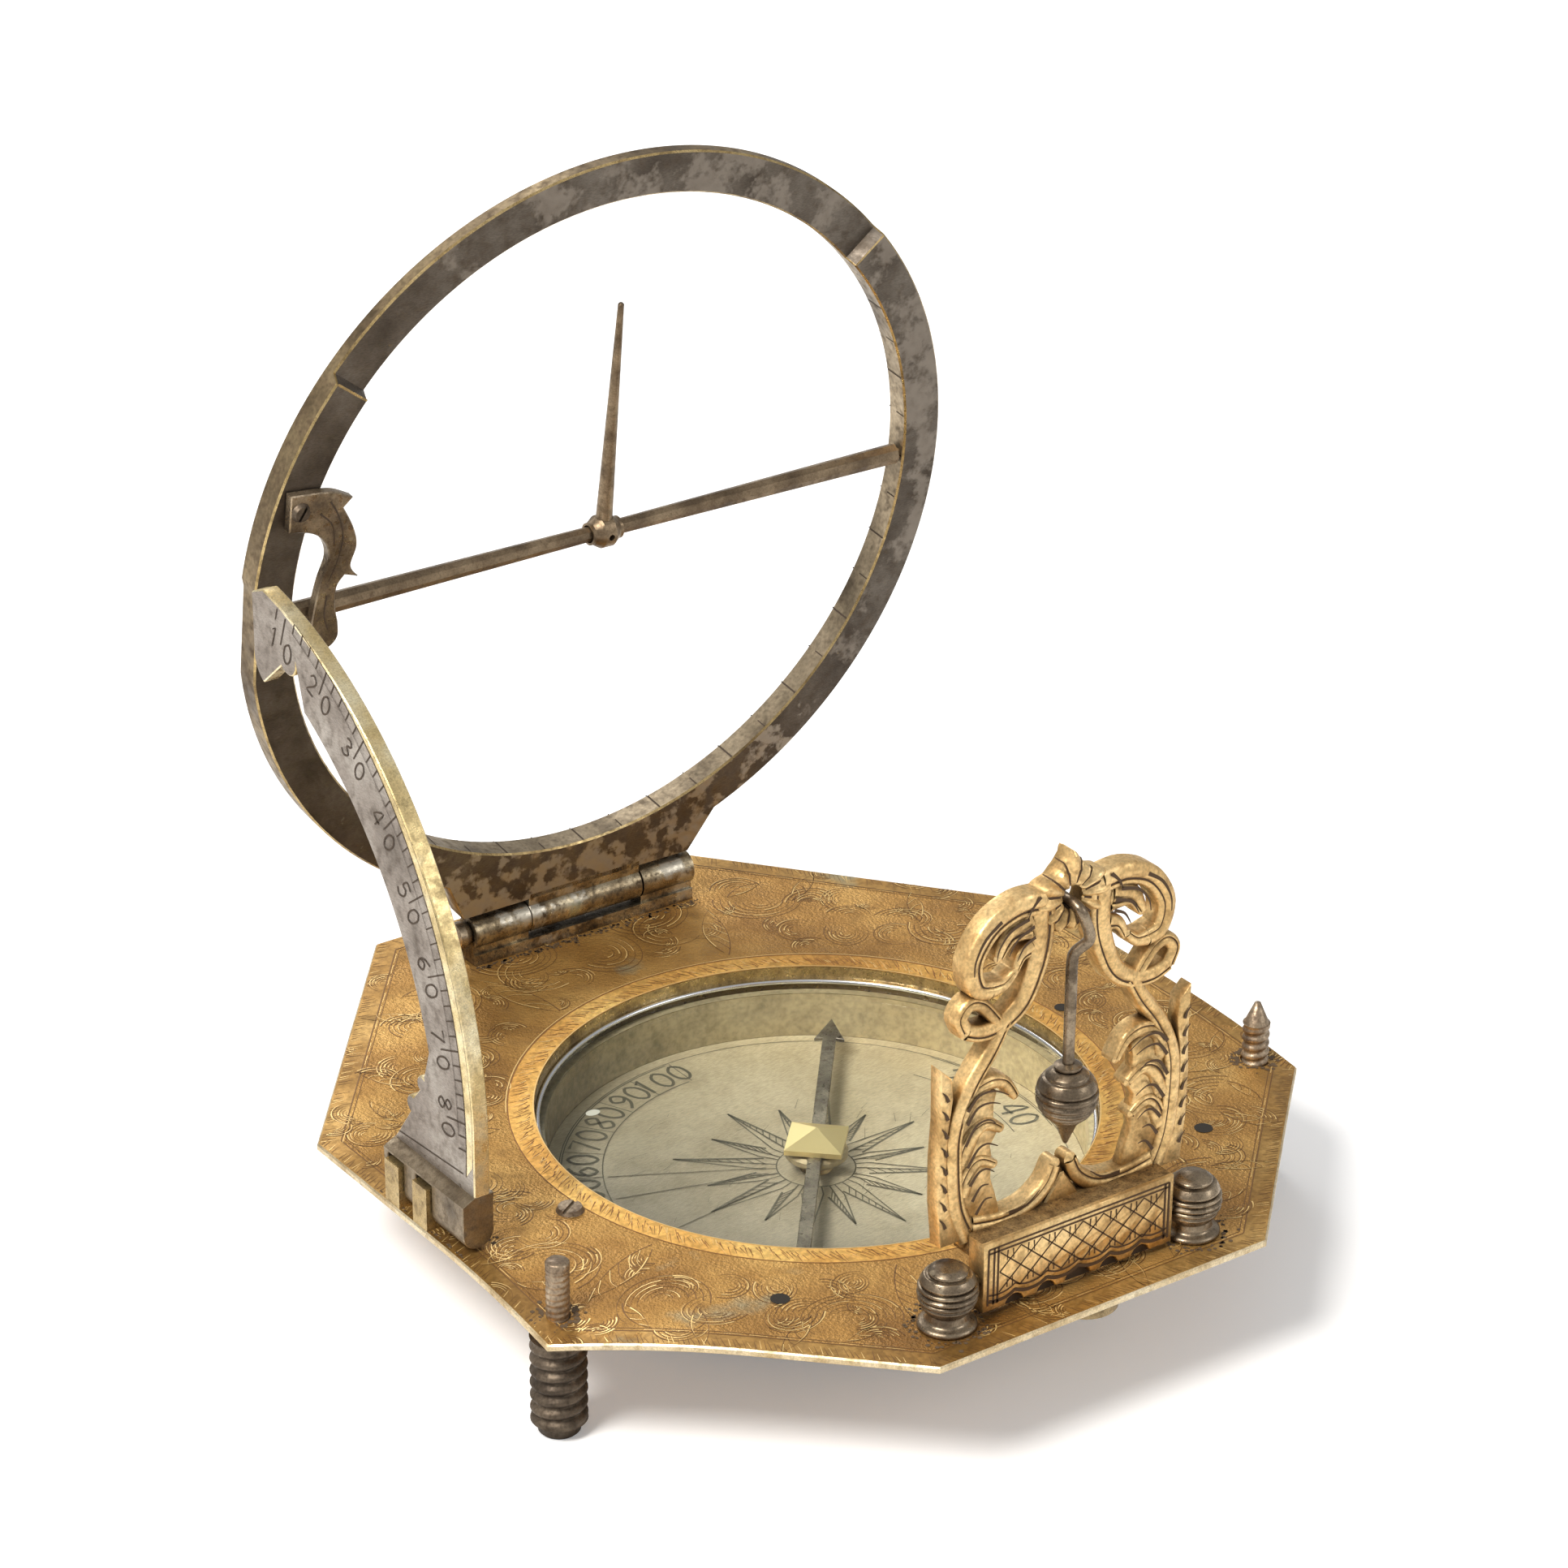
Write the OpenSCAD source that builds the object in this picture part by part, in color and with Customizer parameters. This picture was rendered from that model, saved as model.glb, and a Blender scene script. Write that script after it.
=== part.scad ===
// Equatorial sundial: an octagonal gilt plate with a glazed compass, a folding hour ring with
// a turning gnomon, a folding latitude arc, a folding scrollwork stand with a plumb bob, and
// three levelling screws. Millimetres. X is east, Y is north (the hour ring's hinge), Z is up.
// The plate's centre is above the origin, and the feet stand on z = 0.

/* [Base plate] */
// Thickness of the plate
plate_t = 0.5; // [0.4:0.1:1.2]
// Height of the plate's underside above the table
stand_h = 8.1; // [7.5:0.1:10]
// Plate left outside the latitude arc, on the west
west_margin = 1.25; // [1.2:0.05:3]
// Plate left north of the hour ring's hinge axis
north_margin = 5.7; // [5.2:0.1:8]
// Plate left south of the stand's hinge axis
south_margin = 3.5; // [3:0.1:6]
// Half length of the north side
north_half = 12.1; // [11:0.1:14]
// Half length of the south side
south_half = 12.4; // [11.8:0.1:14]
// East and west sides, length north of the compass centre
side_north = 13.3; // [12:0.1:15]
// East and west sides, length south of the compass centre
side_south = 13.1; // [12.8:0.1:14]

/* [Compass] */
// Radius of the opening in the plate
compass_r = 18; // [16:0.5:18.5]
// Depth of the card's face below the plate's top
card_depth = 5.1; // [4.8:0.1:5.6]
// Thickness of the card
card_t = 0.3; // [0.2:0.1:0.5]
// Thickness of the box wall
box_wall = 0.8; // [0.6:0.1:1]
// Thickness of the box floor
box_floor = 0.8; // [0.6:0.1:1]
// Width of the flange that the box is screwed up by
flange_w = 4.2; // [3.8:0.1:4.4]
// Thickness of the flange
flange_t = 0.7; // [0.5:0.1:0.9]
// Depth of the glass's top below the plate's top
glass_depth = 1.2; // [1.1:0.1:1.4]
// Thickness of the glass
glass_t = 0.7; // [0.5:0.1:0.8]
// Width of the ledge under the glass
ledge_w = 0.6; // [0.5:0.1:0.8]
// Wire radius of the ring that keeps the glass in
glass_wire = 0.18; // [0.12:0.02:0.22]
// Length of the needle's north arm
needle_north = 16.6; // [14:0.1:16.8]
// Length of the needle's south arm
needle_south = 15.2; // [12:0.1:16.4]
// Half width of the needle's shaft
needle_half = 0.45; // [0.35:0.05:0.6]
// Direction of the needle, anticlockwise from east
needle_turn = 50.6; // [0:0.1:90]
// Side of the square cap on the needle
cap_side = 3.7; // [3:0.1:4.2]
// Radius of the box screw's head
screw_head_r = 0.9; // [0.7:0.05:1.1]
// Distance of the box screws out from the compass opening's edge
screw_out = 2.5; // [2.3:0.1:2.7]

/* [Empty holes] */
// Radius of the empty holes in the plate
spare_hole_r = 0.6; // [0.4:0.05:0.8]

/* [Hour ring] */
// Outer radius of the ring
ring_ro = 26.5; // [26:0.1:27]
// Width of the ring's face
ring_w = 2.85; // [2.5:0.05:3.2]
// Thickness of the ring where the hours are
ring_t = 1.8; // [1.7:0.1:2.2]
// Thickness of the ring at its top
ring_thin = 1; // [0.7:0.1:1.3]
// Length of the lug, from the ring's outer edge to the hinge axis
lug_reach = 2.2; // [2.1:0.1:3]
// Half width of the lug at the ring
lug_half = 9; // [8.8:0.1:10]
// Distance of the ring's front face before the hinge axis
ring_set = 0.5; // [0.3:0.1:0.6]
// Inclination of the ring to the plate, as set
ring_tilt = 82; // [60:0.5:85]
// Distance of the ring's middle east of the compass centre
ring_east = 0.3; // [0.1:0.1:0.5]
// Distance of the hinge axis north of the compass opening's edge
ring_hinge_gap = 10.4; // [10.2:0.1:11.4]
// Height of the hinge axis above the plate
ring_hinge_z = 2.2; // [2:0.1:2.6]
// Radius of the hinge barrel
barrel_r = 1.15; // [1:0.05:1.25]
// Radius of the hinge pin
hinge_pin_r = 0.45; // [0.35:0.05:0.55]
// Where the thin part of the ring ends, degrees above east on each side
thin_from = 42; // [36:1:48]
thin_to = 142; // [136:1:146]
// Depth of the flat on the ring's west side
flat_cut = 0.3; // [0.2:0.05:0.5]

/* [Gnomon] */
// Radius of the cross bar at the ring
bar_end_r = 0.7; // [0.6:0.05:0.72]
// Radius of the cross bar at the middle
bar_mid_r = 0.5; // [0.4:0.05:0.6]
// Radius of the bar's pivots
bar_pivot_r = 0.4; // [0.3:0.05:0.5]
// Radius of the hub
hub_r = 1.1; // [0.9:0.05:1.3]
// Length of the gnomon pin from the bar
gnomon_len = 16.5; // [12:0.5:18]
// Radius of the gnomon pin at the hub and at the tip
gnomon_base_r = 0.55; // [0.4:0.05:0.7]
gnomon_tip_r = 0.2; // [0.15:0.05:0.3]

/* [Latitude arc] */
// Thickness of the arc
arc_t = 1.1; // [0.8:0.1:1.2]
// Gap between the hour ring's edge and the arc
arc_gap = 0.45; // [0.35:0.05:0.8]
// Radius of the arc's outer edge
arc_out_r = 28.3; // [28.1:0.1:28.5]
// Radius of the arc's inner edge
arc_in_r = 28; // [27.8:0.1:28.2]
// Height of the arc's hinge axis above the plate
arc_hinge_z = 1.3; // [1.25:0.05:1.5]
// Radius of the arc's foot round its hinge
arc_foot_r = 1.1; // [1:0.05:1.15]
// Height of the foot block above the plate
arc_foot_h = 3.8; // [3.5:0.1:4.2]

/* [Plumb stand] */
// Distance of the stand's hinge axis south of the compass opening's edge
stand_hinge_gap = 7.9; // [7.7:0.1:8.4]
// Height of the stand's hinge axis above the plate
stand_hinge_z = 2.4; // [2.35:0.05:2.6]
// Gap between the ends of the stand's base block and the balls
post_gap = 0.25; // [0.15:0.05:0.5]
// Radius of the balls
ball_r = 1.85; // [1.6:0.05:1.95]
// Thickness of the scroll plate
scroll_t = 1.3; // [1:0.1:1.3]
// Half length of the stand's base block
block_half = 7.2; // [6.8:0.1:7.3]
// Height of the hole that the bob hangs from
hook_hole_z = 25.1; // [24.6:0.1:25.4]
// Radius of that hole
hook_hole_r = 0.75; // [0.65:0.05:0.85]
// Radius of the bob's ball
bob_r = 1.9; // [1.6:0.05:2]
// Radius of the bob's wire
wire_r = 0.36; // [0.3:0.02:0.4]

/* [Levelling screws] */
// Distance of the side screws in from the plate's edge
foot_inset = 2; // [1.8:0.1:2.4]
// Distance of the side screws south of the compass centre
foot_south = 11.2; // [10.5:0.1:12]
// Distance of the north screw in from the plate's edge
foot_inset_north = 2.3; // [2:0.1:2.6]
// Radius of the turned feet
foot_r = 1.75; // [1.5:0.05:1.8]
// Radius of the feet's toes
toe_r = 1.3; // [1:0.05:1.5]
// Gap between a foot's shoulder and the plate
foot_gap = 0.3; // [0.25:0.05:0.8]
// Number of turned ribs on a foot
foot_ribs = 7; // [4:1:8]
// Height of the studs above the plate
stud_h = 3.2; // [2.5:0.1:4]
// Radius of the plain studs and of the coarse east stud
stud_r = 0.74; // [0.6:0.02:0.8]
coarse_stud_r = 0.9; // [0.8:0.02:0.95]

/* [Clearances] */
// Radial clearance of pins and screws that turn or slide
run_fit = 0.05; // [0.03:0.01:0.08]
// Gap between hinge knuckles
knuckle_gap = 0.1; // [0.06:0.01:0.15]
// Radial clearance of fixed round pieces in their seats
seat_fit = 0.05; // [0.02:0.01:0.08]

/* [Hidden] */
$fn = 64;
eps = 0.01;

top_z = stand_h + plate_t;
ring_hinge_y = compass_r + ring_hinge_gap;
stand_hinge_y = compass_r + stand_hinge_gap;
screw_ring = compass_r + screw_out;
post_x = block_half + post_gap + ball_r;
plate_half_w = ring_ro - ring_east + arc_gap + arc_t + west_margin;
plate_n = ring_hinge_y + north_margin;
plate_s = stand_hinge_y + south_margin;
compass_y = (plate_s - plate_n) / 2;

box_r = compass_r + box_wall;
seat_r = compass_r - ledge_w;
card_z = -card_depth;
floor_z = card_z - card_t;
glass_z = -glass_depth;
needle_z = card_z + 1.5;
needle_t = 0.25;
pivot_r = 0.35;
pivot_boss_r = 1.1;
pivot_boss_h = 0.5;
cap_bore_end = needle_z + needle_t + 0.3;
cap_collar_r = 2.05;
cap_neck_r = 1.1;
screw_shank_r = 0.5;
screw_west = 186.7;
screw_east = 2.1;
// Two more empty holes: angle and distance from the compass centre
spare_holes = [[228.9, compass_r + 5.9], [317, compass_r + 6.6]];

ring_ri = ring_ro - ring_w;
ring_reach = ring_ro + lug_reach;
lug_gap = 0.35;
// Where the fixed knuckles and the ring's knuckle begin and end
knuckles = [-8.3, -3.9, 5.1, 9.3];
rivet_r = 0.5;
rivet_xs = [(knuckles[0] + knuckles[1]) / 2, (knuckles[2] + knuckles[3]) / 2];
leaf_t = 0.8;
leaf_front = 0.9;
leaf_back = 2;
bar_set = ring_set - bar_end_r - run_fit;
bar_depth = 1.1;
spring_t = 0.7;
spring_screw_r = 0.4;
spring_screw_in = 1.2;

arc_x = -(ring_ro - ring_east + arc_gap);
arc_hinge_x = arc_x - arc_foot_r + 0.25;
arc_pin_r = 0.4;
arc_block_half = arc_foot_r;
// The arc's foot and circles are set out from the hour ring's hinge
arc_block_south = ring_hinge_y - 31.7;
arc_c_out = [arc_block_south + arc_out_r, ring_hinge_z + 5.3];
arc_c_in = [ring_hinge_y + 0.25, ring_hinge_z + 2.1];
arc_block_north = ring_hinge_y - 22.6;
lug_tops = 2.9;
lug_len = 1.6;
lug_spans = [for (y = [arc_block_north - 2.2, arc_block_north - 5.4]) [y, y + lug_len]];
lug_out = 1.4;
lug_in = 0.8;
lug_play = 0.12;

scroll_back = 2.3;
scroll_front = scroll_back - scroll_t;
apron_front = 0.7;
block_back = 0.8;
block_top = 5;
// Half width that the scrollwork's points are drawn for; it is stretched to the posts
scroll_drawn_w = 9.3;
post_shank_r = 0.8;
pivot_pin_r = 0.35;
// The detent spring under the plate
spring_boss_r = 1.6;
spring_end_r = 2.1;
spring_end_y = 0.1 + spring_end_r - plate_s;
spring_screw_y = -(stand_hinge_y - 3.2);

// The bob's wire hangs on the lower side of its hole
wire_z = hook_hole_z - hook_hole_r + wire_r + run_fit;
bob_z = 12.15;
bob_top = bob_z + 2.1;
bob_y = -(stand_hinge_y - scroll_front);

foot_x = plate_half_w - foot_inset;
foot_north_y = plate_n - foot_inset_north;

// Names of all the pieces

gilt = [0.80, 0.58, 0.25];
brass = [0.62, 0.50, 0.28];
dark_brass = [0.40, 0.34, 0.24];
silvered = [0.45, 0.43, 0.40];
card_grey = [0.62, 0.62, 0.52];
blued = [0.16, 0.17, 0.20];

// Points along a circle's arc
function arc_pts(c, r, a0, a1, n) =
    [for (i = [0 : n]) c + r * [cos(a0 + (a1 - a0) * i / n), sin(a0 + (a1 - a0) * i / n)]];

// A smooth curve through points: position at parameter t between p1 and p2
function curve_at(p0, p1, p2, p3, t) =
    0.5 * (2 * p1 + (p2 - p0) * t + (2 * p0 - 5 * p1 + 4 * p2 - p3) * t * t
        + (3 * p1 - p0 - 3 * p2 + p3) * t * t * t);

// Smooth path through all the points, with n steps from each to the next
function smooth(p, n = 5) =
    let (m = len(p))
    [for (i = [0 : m - 2]) for (k = [0 : n - 1])
        curve_at(p[max(i - 1, 0)], p[i], p[i + 1], p[min(i + 2, m - 1)], k / n), p[m - 1]];

// Left-hand unit normal of a plane path at one of its points
function normal_at(q, i) =
    let (d = q[min(i + 1, len(q) - 1)] - q[max(i - 1, 0)])
    [-d[1], d[0]] / norm(d);

// Half circle round the end of a band, from its left side to its right side
function cap_pts(c, d, w, n = 4) =
    let (a = atan2(d[1], d[0]))
    [for (i = [1 : n - 1]) c + w / 2 * [cos(a + 90 - 180 * i / n), sin(a + 90 - 180 * i / n)]];

// The scrollwork's drawing, stretched sideways to the distance of the posts
function to_posts(p) = [for (v = p) [v[0] * post_x / scroll_drawn_w, v[1]]];

// A band of changing width along a smooth plane path, with round ends
module band(p, w0, w1, n = 4) {
    q = smooth(to_posts(p), n);
    m = len(q) - 1;
    polygon(concat(
        [for (i = [0 : m]) q[i] + normal_at(q, i) * (w0 + (w1 - w0) * i / m) / 2],
        cap_pts(q[m], q[m] - q[m - 1], w1),
        [for (i = [m : -1 : 0]) q[i] - normal_at(q, i) * (w0 + (w1 - w0) * i / m) / 2],
        cap_pts(q[0], q[0] - q[1], w0)
    ));
}

// A round wire along a smooth path in space, made as one closed skin
module wire(p, r, n = 6, sides = 10) {
    q = smooth(p, n);
    m = len(q);
    pts = [for (i = [0 : m - 1])
        let (
            d = q[min(i + 1, m - 1)] - q[max(i - 1, 0)],
            t = d / norm(d),
            u0 = cross(t, [1, 0.2, 0.1]),
            u = u0 / norm(u0),
            v = cross(t, u)
        )
        for (k = [0 : sides - 1]) q[i] + r * (u * cos(360 * k / sides) + v * sin(360 * k / sides))];
    polyhedron(pts, concat(
        [[for (k = [0 : sides - 1]) k]],
        [[for (k = [sides - 1 : -1 : 0]) (m - 1) * sides + k]],
        [for (i = [0 : m - 2]) for (k = [0 : sides - 1])
            [i * sides + k, (i + 1) * sides + k, (i + 1) * sides + (k + 1) % sides,
             i * sides + (k + 1) % sides]]
    ), convexity = 6);
}

// Places what follows at the compass centre, on the plate's top
module on_plate() {
    translate([0, compass_y, top_z]) children();
}

// Lays a piece in the hour ring's plane: X east, Y up the ring from the hinge axis, Z to the front
module in_ring() {
    on_plate() translate([0, ring_hinge_y, ring_hinge_z]) rotate([180 - ring_tilt, 0, 0]) children();
}

// Stands a drawing in Y and Z up across the X axis
module across_x(x0, x1) {
    translate([x0, 0, 0]) rotate([90, 0, 90]) linear_extrude(x1 - x0) children();
}

// Stands a drawing in X and Z up, between two distances y0 and y1
module across_y(y0, y1) {
    translate([0, y1, 0]) rotate([90, 0, 0]) linear_extrude(y1 - y0) children();
}

// A round bar along X
module bar_x(r, x0, x1) {
    translate([x0, 0, 0]) rotate([0, 90, 0]) cylinder(r = r, h = x1 - x0);
}

// A round bar along Y
module bar_y(r, y0, y1) {
    translate([0, y1, 0]) rotate([90, 0, 0]) cylinder(r = r, h = y1 - y0);
}

module plate_outline() {
    polygon([
        [plate_half_w, side_north], [north_half, plate_n], [-north_half, plate_n],
        [-plate_half_w, side_north], [-plate_half_w, -side_south], [-south_half, -plate_s],
        [south_half, -plate_s], [plate_half_w, -side_south]
    ]);
}

module base_plate() {
    color(gilt) on_plate() difference() {
        translate([0, 0, -plate_t]) linear_extrude(plate_t) plate_outline();
        translate([0, 0, -plate_t - 1]) cylinder(r = compass_r, h = plate_t + 2, $fn = 128);
        for (s = [-1, 1]) {
            translate([s * foot_x, -foot_south, -plate_t - 1])
                cylinder(r = (s < 0 ? stud_r : coarse_stud_r) + run_fit, h = plate_t + 2);
            translate([s * post_x, -stand_hinge_y, -plate_t - 1])
                cylinder(r = post_shank_r, h = plate_t + 2);
        }
        translate([0, foot_north_y, -plate_t - 1]) cylinder(r = stud_r + run_fit, h = plate_t + 2);
        for (a = [screw_west, screw_east]) rotate(a) translate([screw_ring, 0, -plate_t - 1])
            cylinder(r = screw_shank_r, h = plate_t + 2);
        for (h = spare_holes) rotate(h[0]) translate([h[1], 0, -plate_t - 1])
            cylinder(r = spare_hole_r, h = plate_t + 2);
        for (x = rivet_xs) translate([x, ring_hinge_y, -plate_t - 1])
            cylinder(r = rivet_r, h = plate_t + 2);
        translate([0, spring_screw_y, -plate_t - 1]) cylinder(r = screw_shank_r, h = plate_t + 2);
    }
}

module compass_box() {
    color(brass) on_plate() difference() {
        union() {
            translate([0, 0, floor_z - box_floor])
                cylinder(r = box_r, h = -plate_t - floor_z + box_floor, $fn = 128);
            translate([0, 0, -plate_t - flange_t])
                cylinder(r = compass_r + flange_w, h = flange_t, $fn = 128);
        }
        translate([0, 0, glass_z - glass_t]) cylinder(r = compass_r, h = card_depth, $fn = 128);
        translate([0, 0, floor_z]) cylinder(r = seat_r, h = card_depth, $fn = 128);
        for (a = [screw_west, screw_east]) rotate(a) translate([screw_ring, 0, -plate_t - 2])
            cylinder(r = screw_shank_r, h = 3);
        translate([0, spring_screw_y, -plate_t - 2]) cylinder(r = spring_boss_r, h = 3);
        for (h = spare_holes) rotate(h[0]) translate([h[1], 0, -plate_t - 2])
            cylinder(r = spare_hole_r, h = 3);
    }
}

module compass_card() {
    color(card_grey) on_plate() translate([0, 0, floor_z]) difference() {
        cylinder(r = seat_r - seat_fit, h = card_t, $fn = 128);
        translate([0, 0, -1]) cylinder(r = pivot_boss_r + seat_fit, h = card_t + 2);
    }
}

module compass_glass() {
    color([0.8, 0.85, 0.85, 0.35]) on_plate() translate([0, 0, glass_z - glass_t])
        cylinder(r = compass_r - seat_fit, h = glass_t, $fn = 128);
}

// A split wire ring, sprung out against the wall over the glass
module glass_ring() {
    color("silver") on_plate() translate([0, 0, glass_z + glass_wire])
        rotate([0, 0, 250]) rotate_extrude(angle = 354, $fn = 128)
            translate([compass_r - glass_wire, 0]) circle(r = glass_wire - eps, $fn = 16);
}

// The brass boss and the steel point that the needle turns on
module needle_pivot() {
    tip = cap_bore_end - run_fit - floor_z;
    color(brass) on_plate() translate([0, 0, floor_z]) rotate_extrude() polygon([
        [0, 0], [pivot_boss_r, 0], [pivot_boss_r, card_t], [pivot_boss_r * 0.8, card_t + pivot_boss_h],
        [pivot_r, card_t + pivot_boss_h], [pivot_r, tip - 0.6], [0, tip]
    ]);
}

module box_screw() {
    color(dark_brass) on_plate() rotate(screw_west) translate([screw_ring, 0, 0]) difference() {
        union() {
            translate([0, 0, -plate_t - flange_t]) cylinder(r = screw_shank_r, h = plate_t + flange_t);
            cylinder(r1 = screw_head_r, r2 = screw_head_r - 0.15, h = 0.3);
        }
        rotate(25) translate([-2, -0.12, 0.15]) cube([4, 0.24, 1]);
    }
}

module compass_needle() {
    head_len = 2.8;
    head_half = 1;
    color(blued) on_plate() translate([0, 0, needle_z]) rotate(needle_turn) difference() {
        linear_extrude(needle_t) {
            translate([-needle_south, -needle_half])
                square([needle_south + needle_north - head_len + 0.5, 2 * needle_half]);
            polygon([
                [needle_north, 0], [needle_north - head_len, head_half],
                [needle_north - head_len + 0.3, 0], [needle_north - head_len, -head_half]
            ]);
            circle(r = cap_collar_r - 0.3);
        }
        translate([0, 0, -1]) cylinder(r = cap_neck_r + seat_fit / 2, h = 3);
    }
}

// Turned collar under the needle and a four-sided pyramid over it
module needle_cap() {
    up = needle_z + needle_t;
    color(gilt) on_plate() rotate(needle_turn - 52) difference() {
        union() {
            translate([0, 0, needle_z - 0.75]) cylinder(r = cap_collar_r, h = 0.75);
            translate([0, 0, needle_z - 0.1]) cylinder(r = cap_neck_r, h = needle_t + 0.2);
            translate([0, 0, up]) linear_extrude(0.35) square(cap_side, center = true);
            polyhedron(
                [for (s = [[-1, -1], [1, -1], [1, 1], [-1, 1]])
                    [s[0] * cap_side / 2, s[1] * cap_side / 2, up + 0.35 - eps],
                 [0, 0, up + 1.15]],
                [[0, 1, 2, 3], [4, 1, 0], [4, 2, 1], [4, 3, 2], [4, 0, 3]]
            );
        }
        translate([0, 0, needle_z - 1])
            cylinder(r = pivot_r + 2 * run_fit, h = cap_bore_end - needle_z + 1);
    }
}

// The leaf on the plate and its two fixed knuckles
module ring_hinge_leaf() {
    half_gap = knuckle_gap / 2;
    color(brass) on_plate() translate([0, ring_hinge_y, 0]) difference() {
        union() {
            translate([knuckles[0], -leaf_front, 0])
                cube([knuckles[3] - knuckles[0], leaf_front + leaf_back, leaf_t]);
            for (k = [[knuckles[0], knuckles[1] - half_gap], [knuckles[2] + half_gap, knuckles[3]]]) {
                translate([0, 0, ring_hinge_z]) bar_x(barrel_r, k[0], k[1]);
                translate([k[0], -leaf_front + 0.2, 0])
                    cube([k[1] - k[0], leaf_front + 0.5, ring_hinge_z - 0.2]);
            }
        }
        translate([0, 0, ring_hinge_z]) bar_x(hinge_pin_r, knuckles[0] - 1, knuckles[3] + 1);
        for (x = rivet_xs) translate([x, 0, -1]) cylinder(r = rivet_r, h = 1 + leaf_t);
    }
}

// The hinge pin, with a turned head at its west end
module ring_hinge_pin() {
    color(dark_brass) on_plate() translate([0, ring_hinge_y, ring_hinge_z]) {
        bar_x(hinge_pin_r, knuckles[0] - 0.5, knuckles[3] + 0.3);
        translate([knuckles[0] - 1.5, 0, 0]) rotate([0, 90, 0]) rotate_extrude() polygon([
            [0, 0], [0.5, 0.05], [0.95, 0.45], [0.95, 0.95], [0.75, 1.4], [0, 1.4]
        ]);
    }
}

module hinge_rivets() {
    color(brass) on_plate() translate([0, ring_hinge_y, -plate_t - 0.2]) for (x = rivet_xs)
        translate([x, 0, 0]) {
            cylinder(r = rivet_r, h = plate_t + 0.2 + leaf_t);
            cylinder(r = rivet_r + 0.25, h = 0.2);
        }
}

module ring_face() {
    difference() {
        union() {
            translate([ring_east, ring_reach]) circle(r = ring_ro, $fn = 160);
            polygon([
                [-lug_half - 1.6, ring_reach - sqrt(pow(ring_ro, 2) - pow(lug_half + 1.6, 2)) + 0.6],
                [-lug_half, barrel_r + lug_gap], [lug_half, barrel_r + lug_gap],
                [lug_half + 1.6, ring_reach - sqrt(pow(ring_ro, 2) - pow(lug_half + 1.6, 2)) + 0.6]
            ]);
        }
        translate([ring_east, ring_reach]) circle(r = ring_ri, $fn = 160);
        // the flat beside the latitude arc, below the index
        translate([ring_east - ring_ro - 1, ring_reach - 6]) square([1 + flat_cut, 8.6]);
    }
}

module hour_ring() {
    ramp = 1.6;
    step = ring_t - ring_thin;
    far = ring_ro + 4;
    color(silvered) in_ring() difference() {
        union() {
            translate([0, 0, ring_set - ring_t]) linear_extrude(ring_t) ring_face();
            bar_x(barrel_r, knuckles[1] + knuckle_gap / 2, knuckles[2] - knuckle_gap / 2);
            translate([knuckles[1] + knuckle_gap / 2, 0, ring_set - ring_t])
                cube([knuckles[2] - knuckles[1] - knuckle_gap, barrel_r + lug_gap + 0.5, ring_t]);
        }
        // the front is cut back over the top of the ring, with a ramp at each end
        translate([ring_east, ring_reach, ring_set - step]) {
            linear_extrude(step + 1) polygon(concat([[0, 0]], arc_pts([0, 0], far, thin_from, thin_to, 8)));
            for (end = [[thin_to, 1], [thin_from, -1]]) rotate(end[0]) translate([ring_ri - 2, 0, 0])
                rotate([90, 0, 90]) linear_extrude(ring_w + 4) polygon([
                    [-0.2 * end[1], 0], [ramp * end[1], step], [ramp * end[1], step + 1],
                    [-0.2 * end[1], step + 1]
                ]);
        }
        bar_x(hinge_pin_r + run_fit, knuckles[0], knuckles[3]);
        translate([ring_east - ring_ri - 0.1, ring_reach + 8.05, ring_set - spring_screw_in])
            cylinder(r = spring_screw_r, h = spring_screw_in + 1);
        for (s = [0, 1]) translate([ring_east, ring_reach, bar_set]) mirror([s, 0, 0])
            bar_x(bar_pivot_r + run_fit, ring_ri - 1, ring_ri + bar_depth + 0.3);
    }
}

// The scroll-shaped leaf spring that holds the gnomon bar's west end
module gnomon_spring() {
    r = -ring_ri;
    color(dark_brass) in_ring() translate([ring_east, ring_reach, ring_set]) difference() {
        translate([r, 0, 0]) linear_extrude(spring_t) polygon(concat(
            smooth([[-0.8, 9.3], [1.2, 9.1], [2.4, 8.85], [3.65, 8.2]], 3),
            smooth([[3, 7.6], [3.75, 6.1], [4.08, 4.7], [3.7, 3.3], [4.3, 2.4]], 3),
            smooth([[3.3, 2.75], [2.75, 2], [2.7, 0.6], [2.95, -0.6], [2.95, -1.7], [2.2, -2.3],
                [1.45, -1.8], [1, -0.75], [1.2, 1], [1.55, 2.65], [2.05, 4.25], [1.7, 5.5],
                [0.8, 6.3], [-0.85, 6.75]], 3)
        ));
        translate([r - 0.1, 8.05, -1]) cylinder(r = spring_screw_r, h = spring_t + 2);
    }
}

module gnomon_spring_screw() {
    deep = spring_t + spring_screw_in;
    color(dark_brass) in_ring() translate([ring_east - ring_ri - 0.1, ring_reach + 8.05, ring_set + spring_t])
        difference() {
            union() {
                translate([0, 0, -deep]) cylinder(r = spring_screw_r, h = deep);
                cylinder(r1 = 0.65, r2 = 0.5, h = 0.3);
            }
            rotate(60) translate([-2, -0.1, 0.15]) cube([4, 0.2, 1]);
        }
}

// The cross bar: eight-sided, thinner at the hub, with a round pivot at each end
module gnomon_bar() {
    half = ring_ri - 0.25;
    color(brass) in_ring() translate([ring_east, ring_reach, bar_set]) for (s = [0, 1]) mirror([s, 0, 0]) {
        rotate([0, 90, 0]) cylinder(r1 = bar_mid_r, r2 = bar_end_r, h = half, $fn = 8);
        bar_x(bar_pivot_r, half - 1, ring_ri + bar_depth);
    }
}

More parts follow.
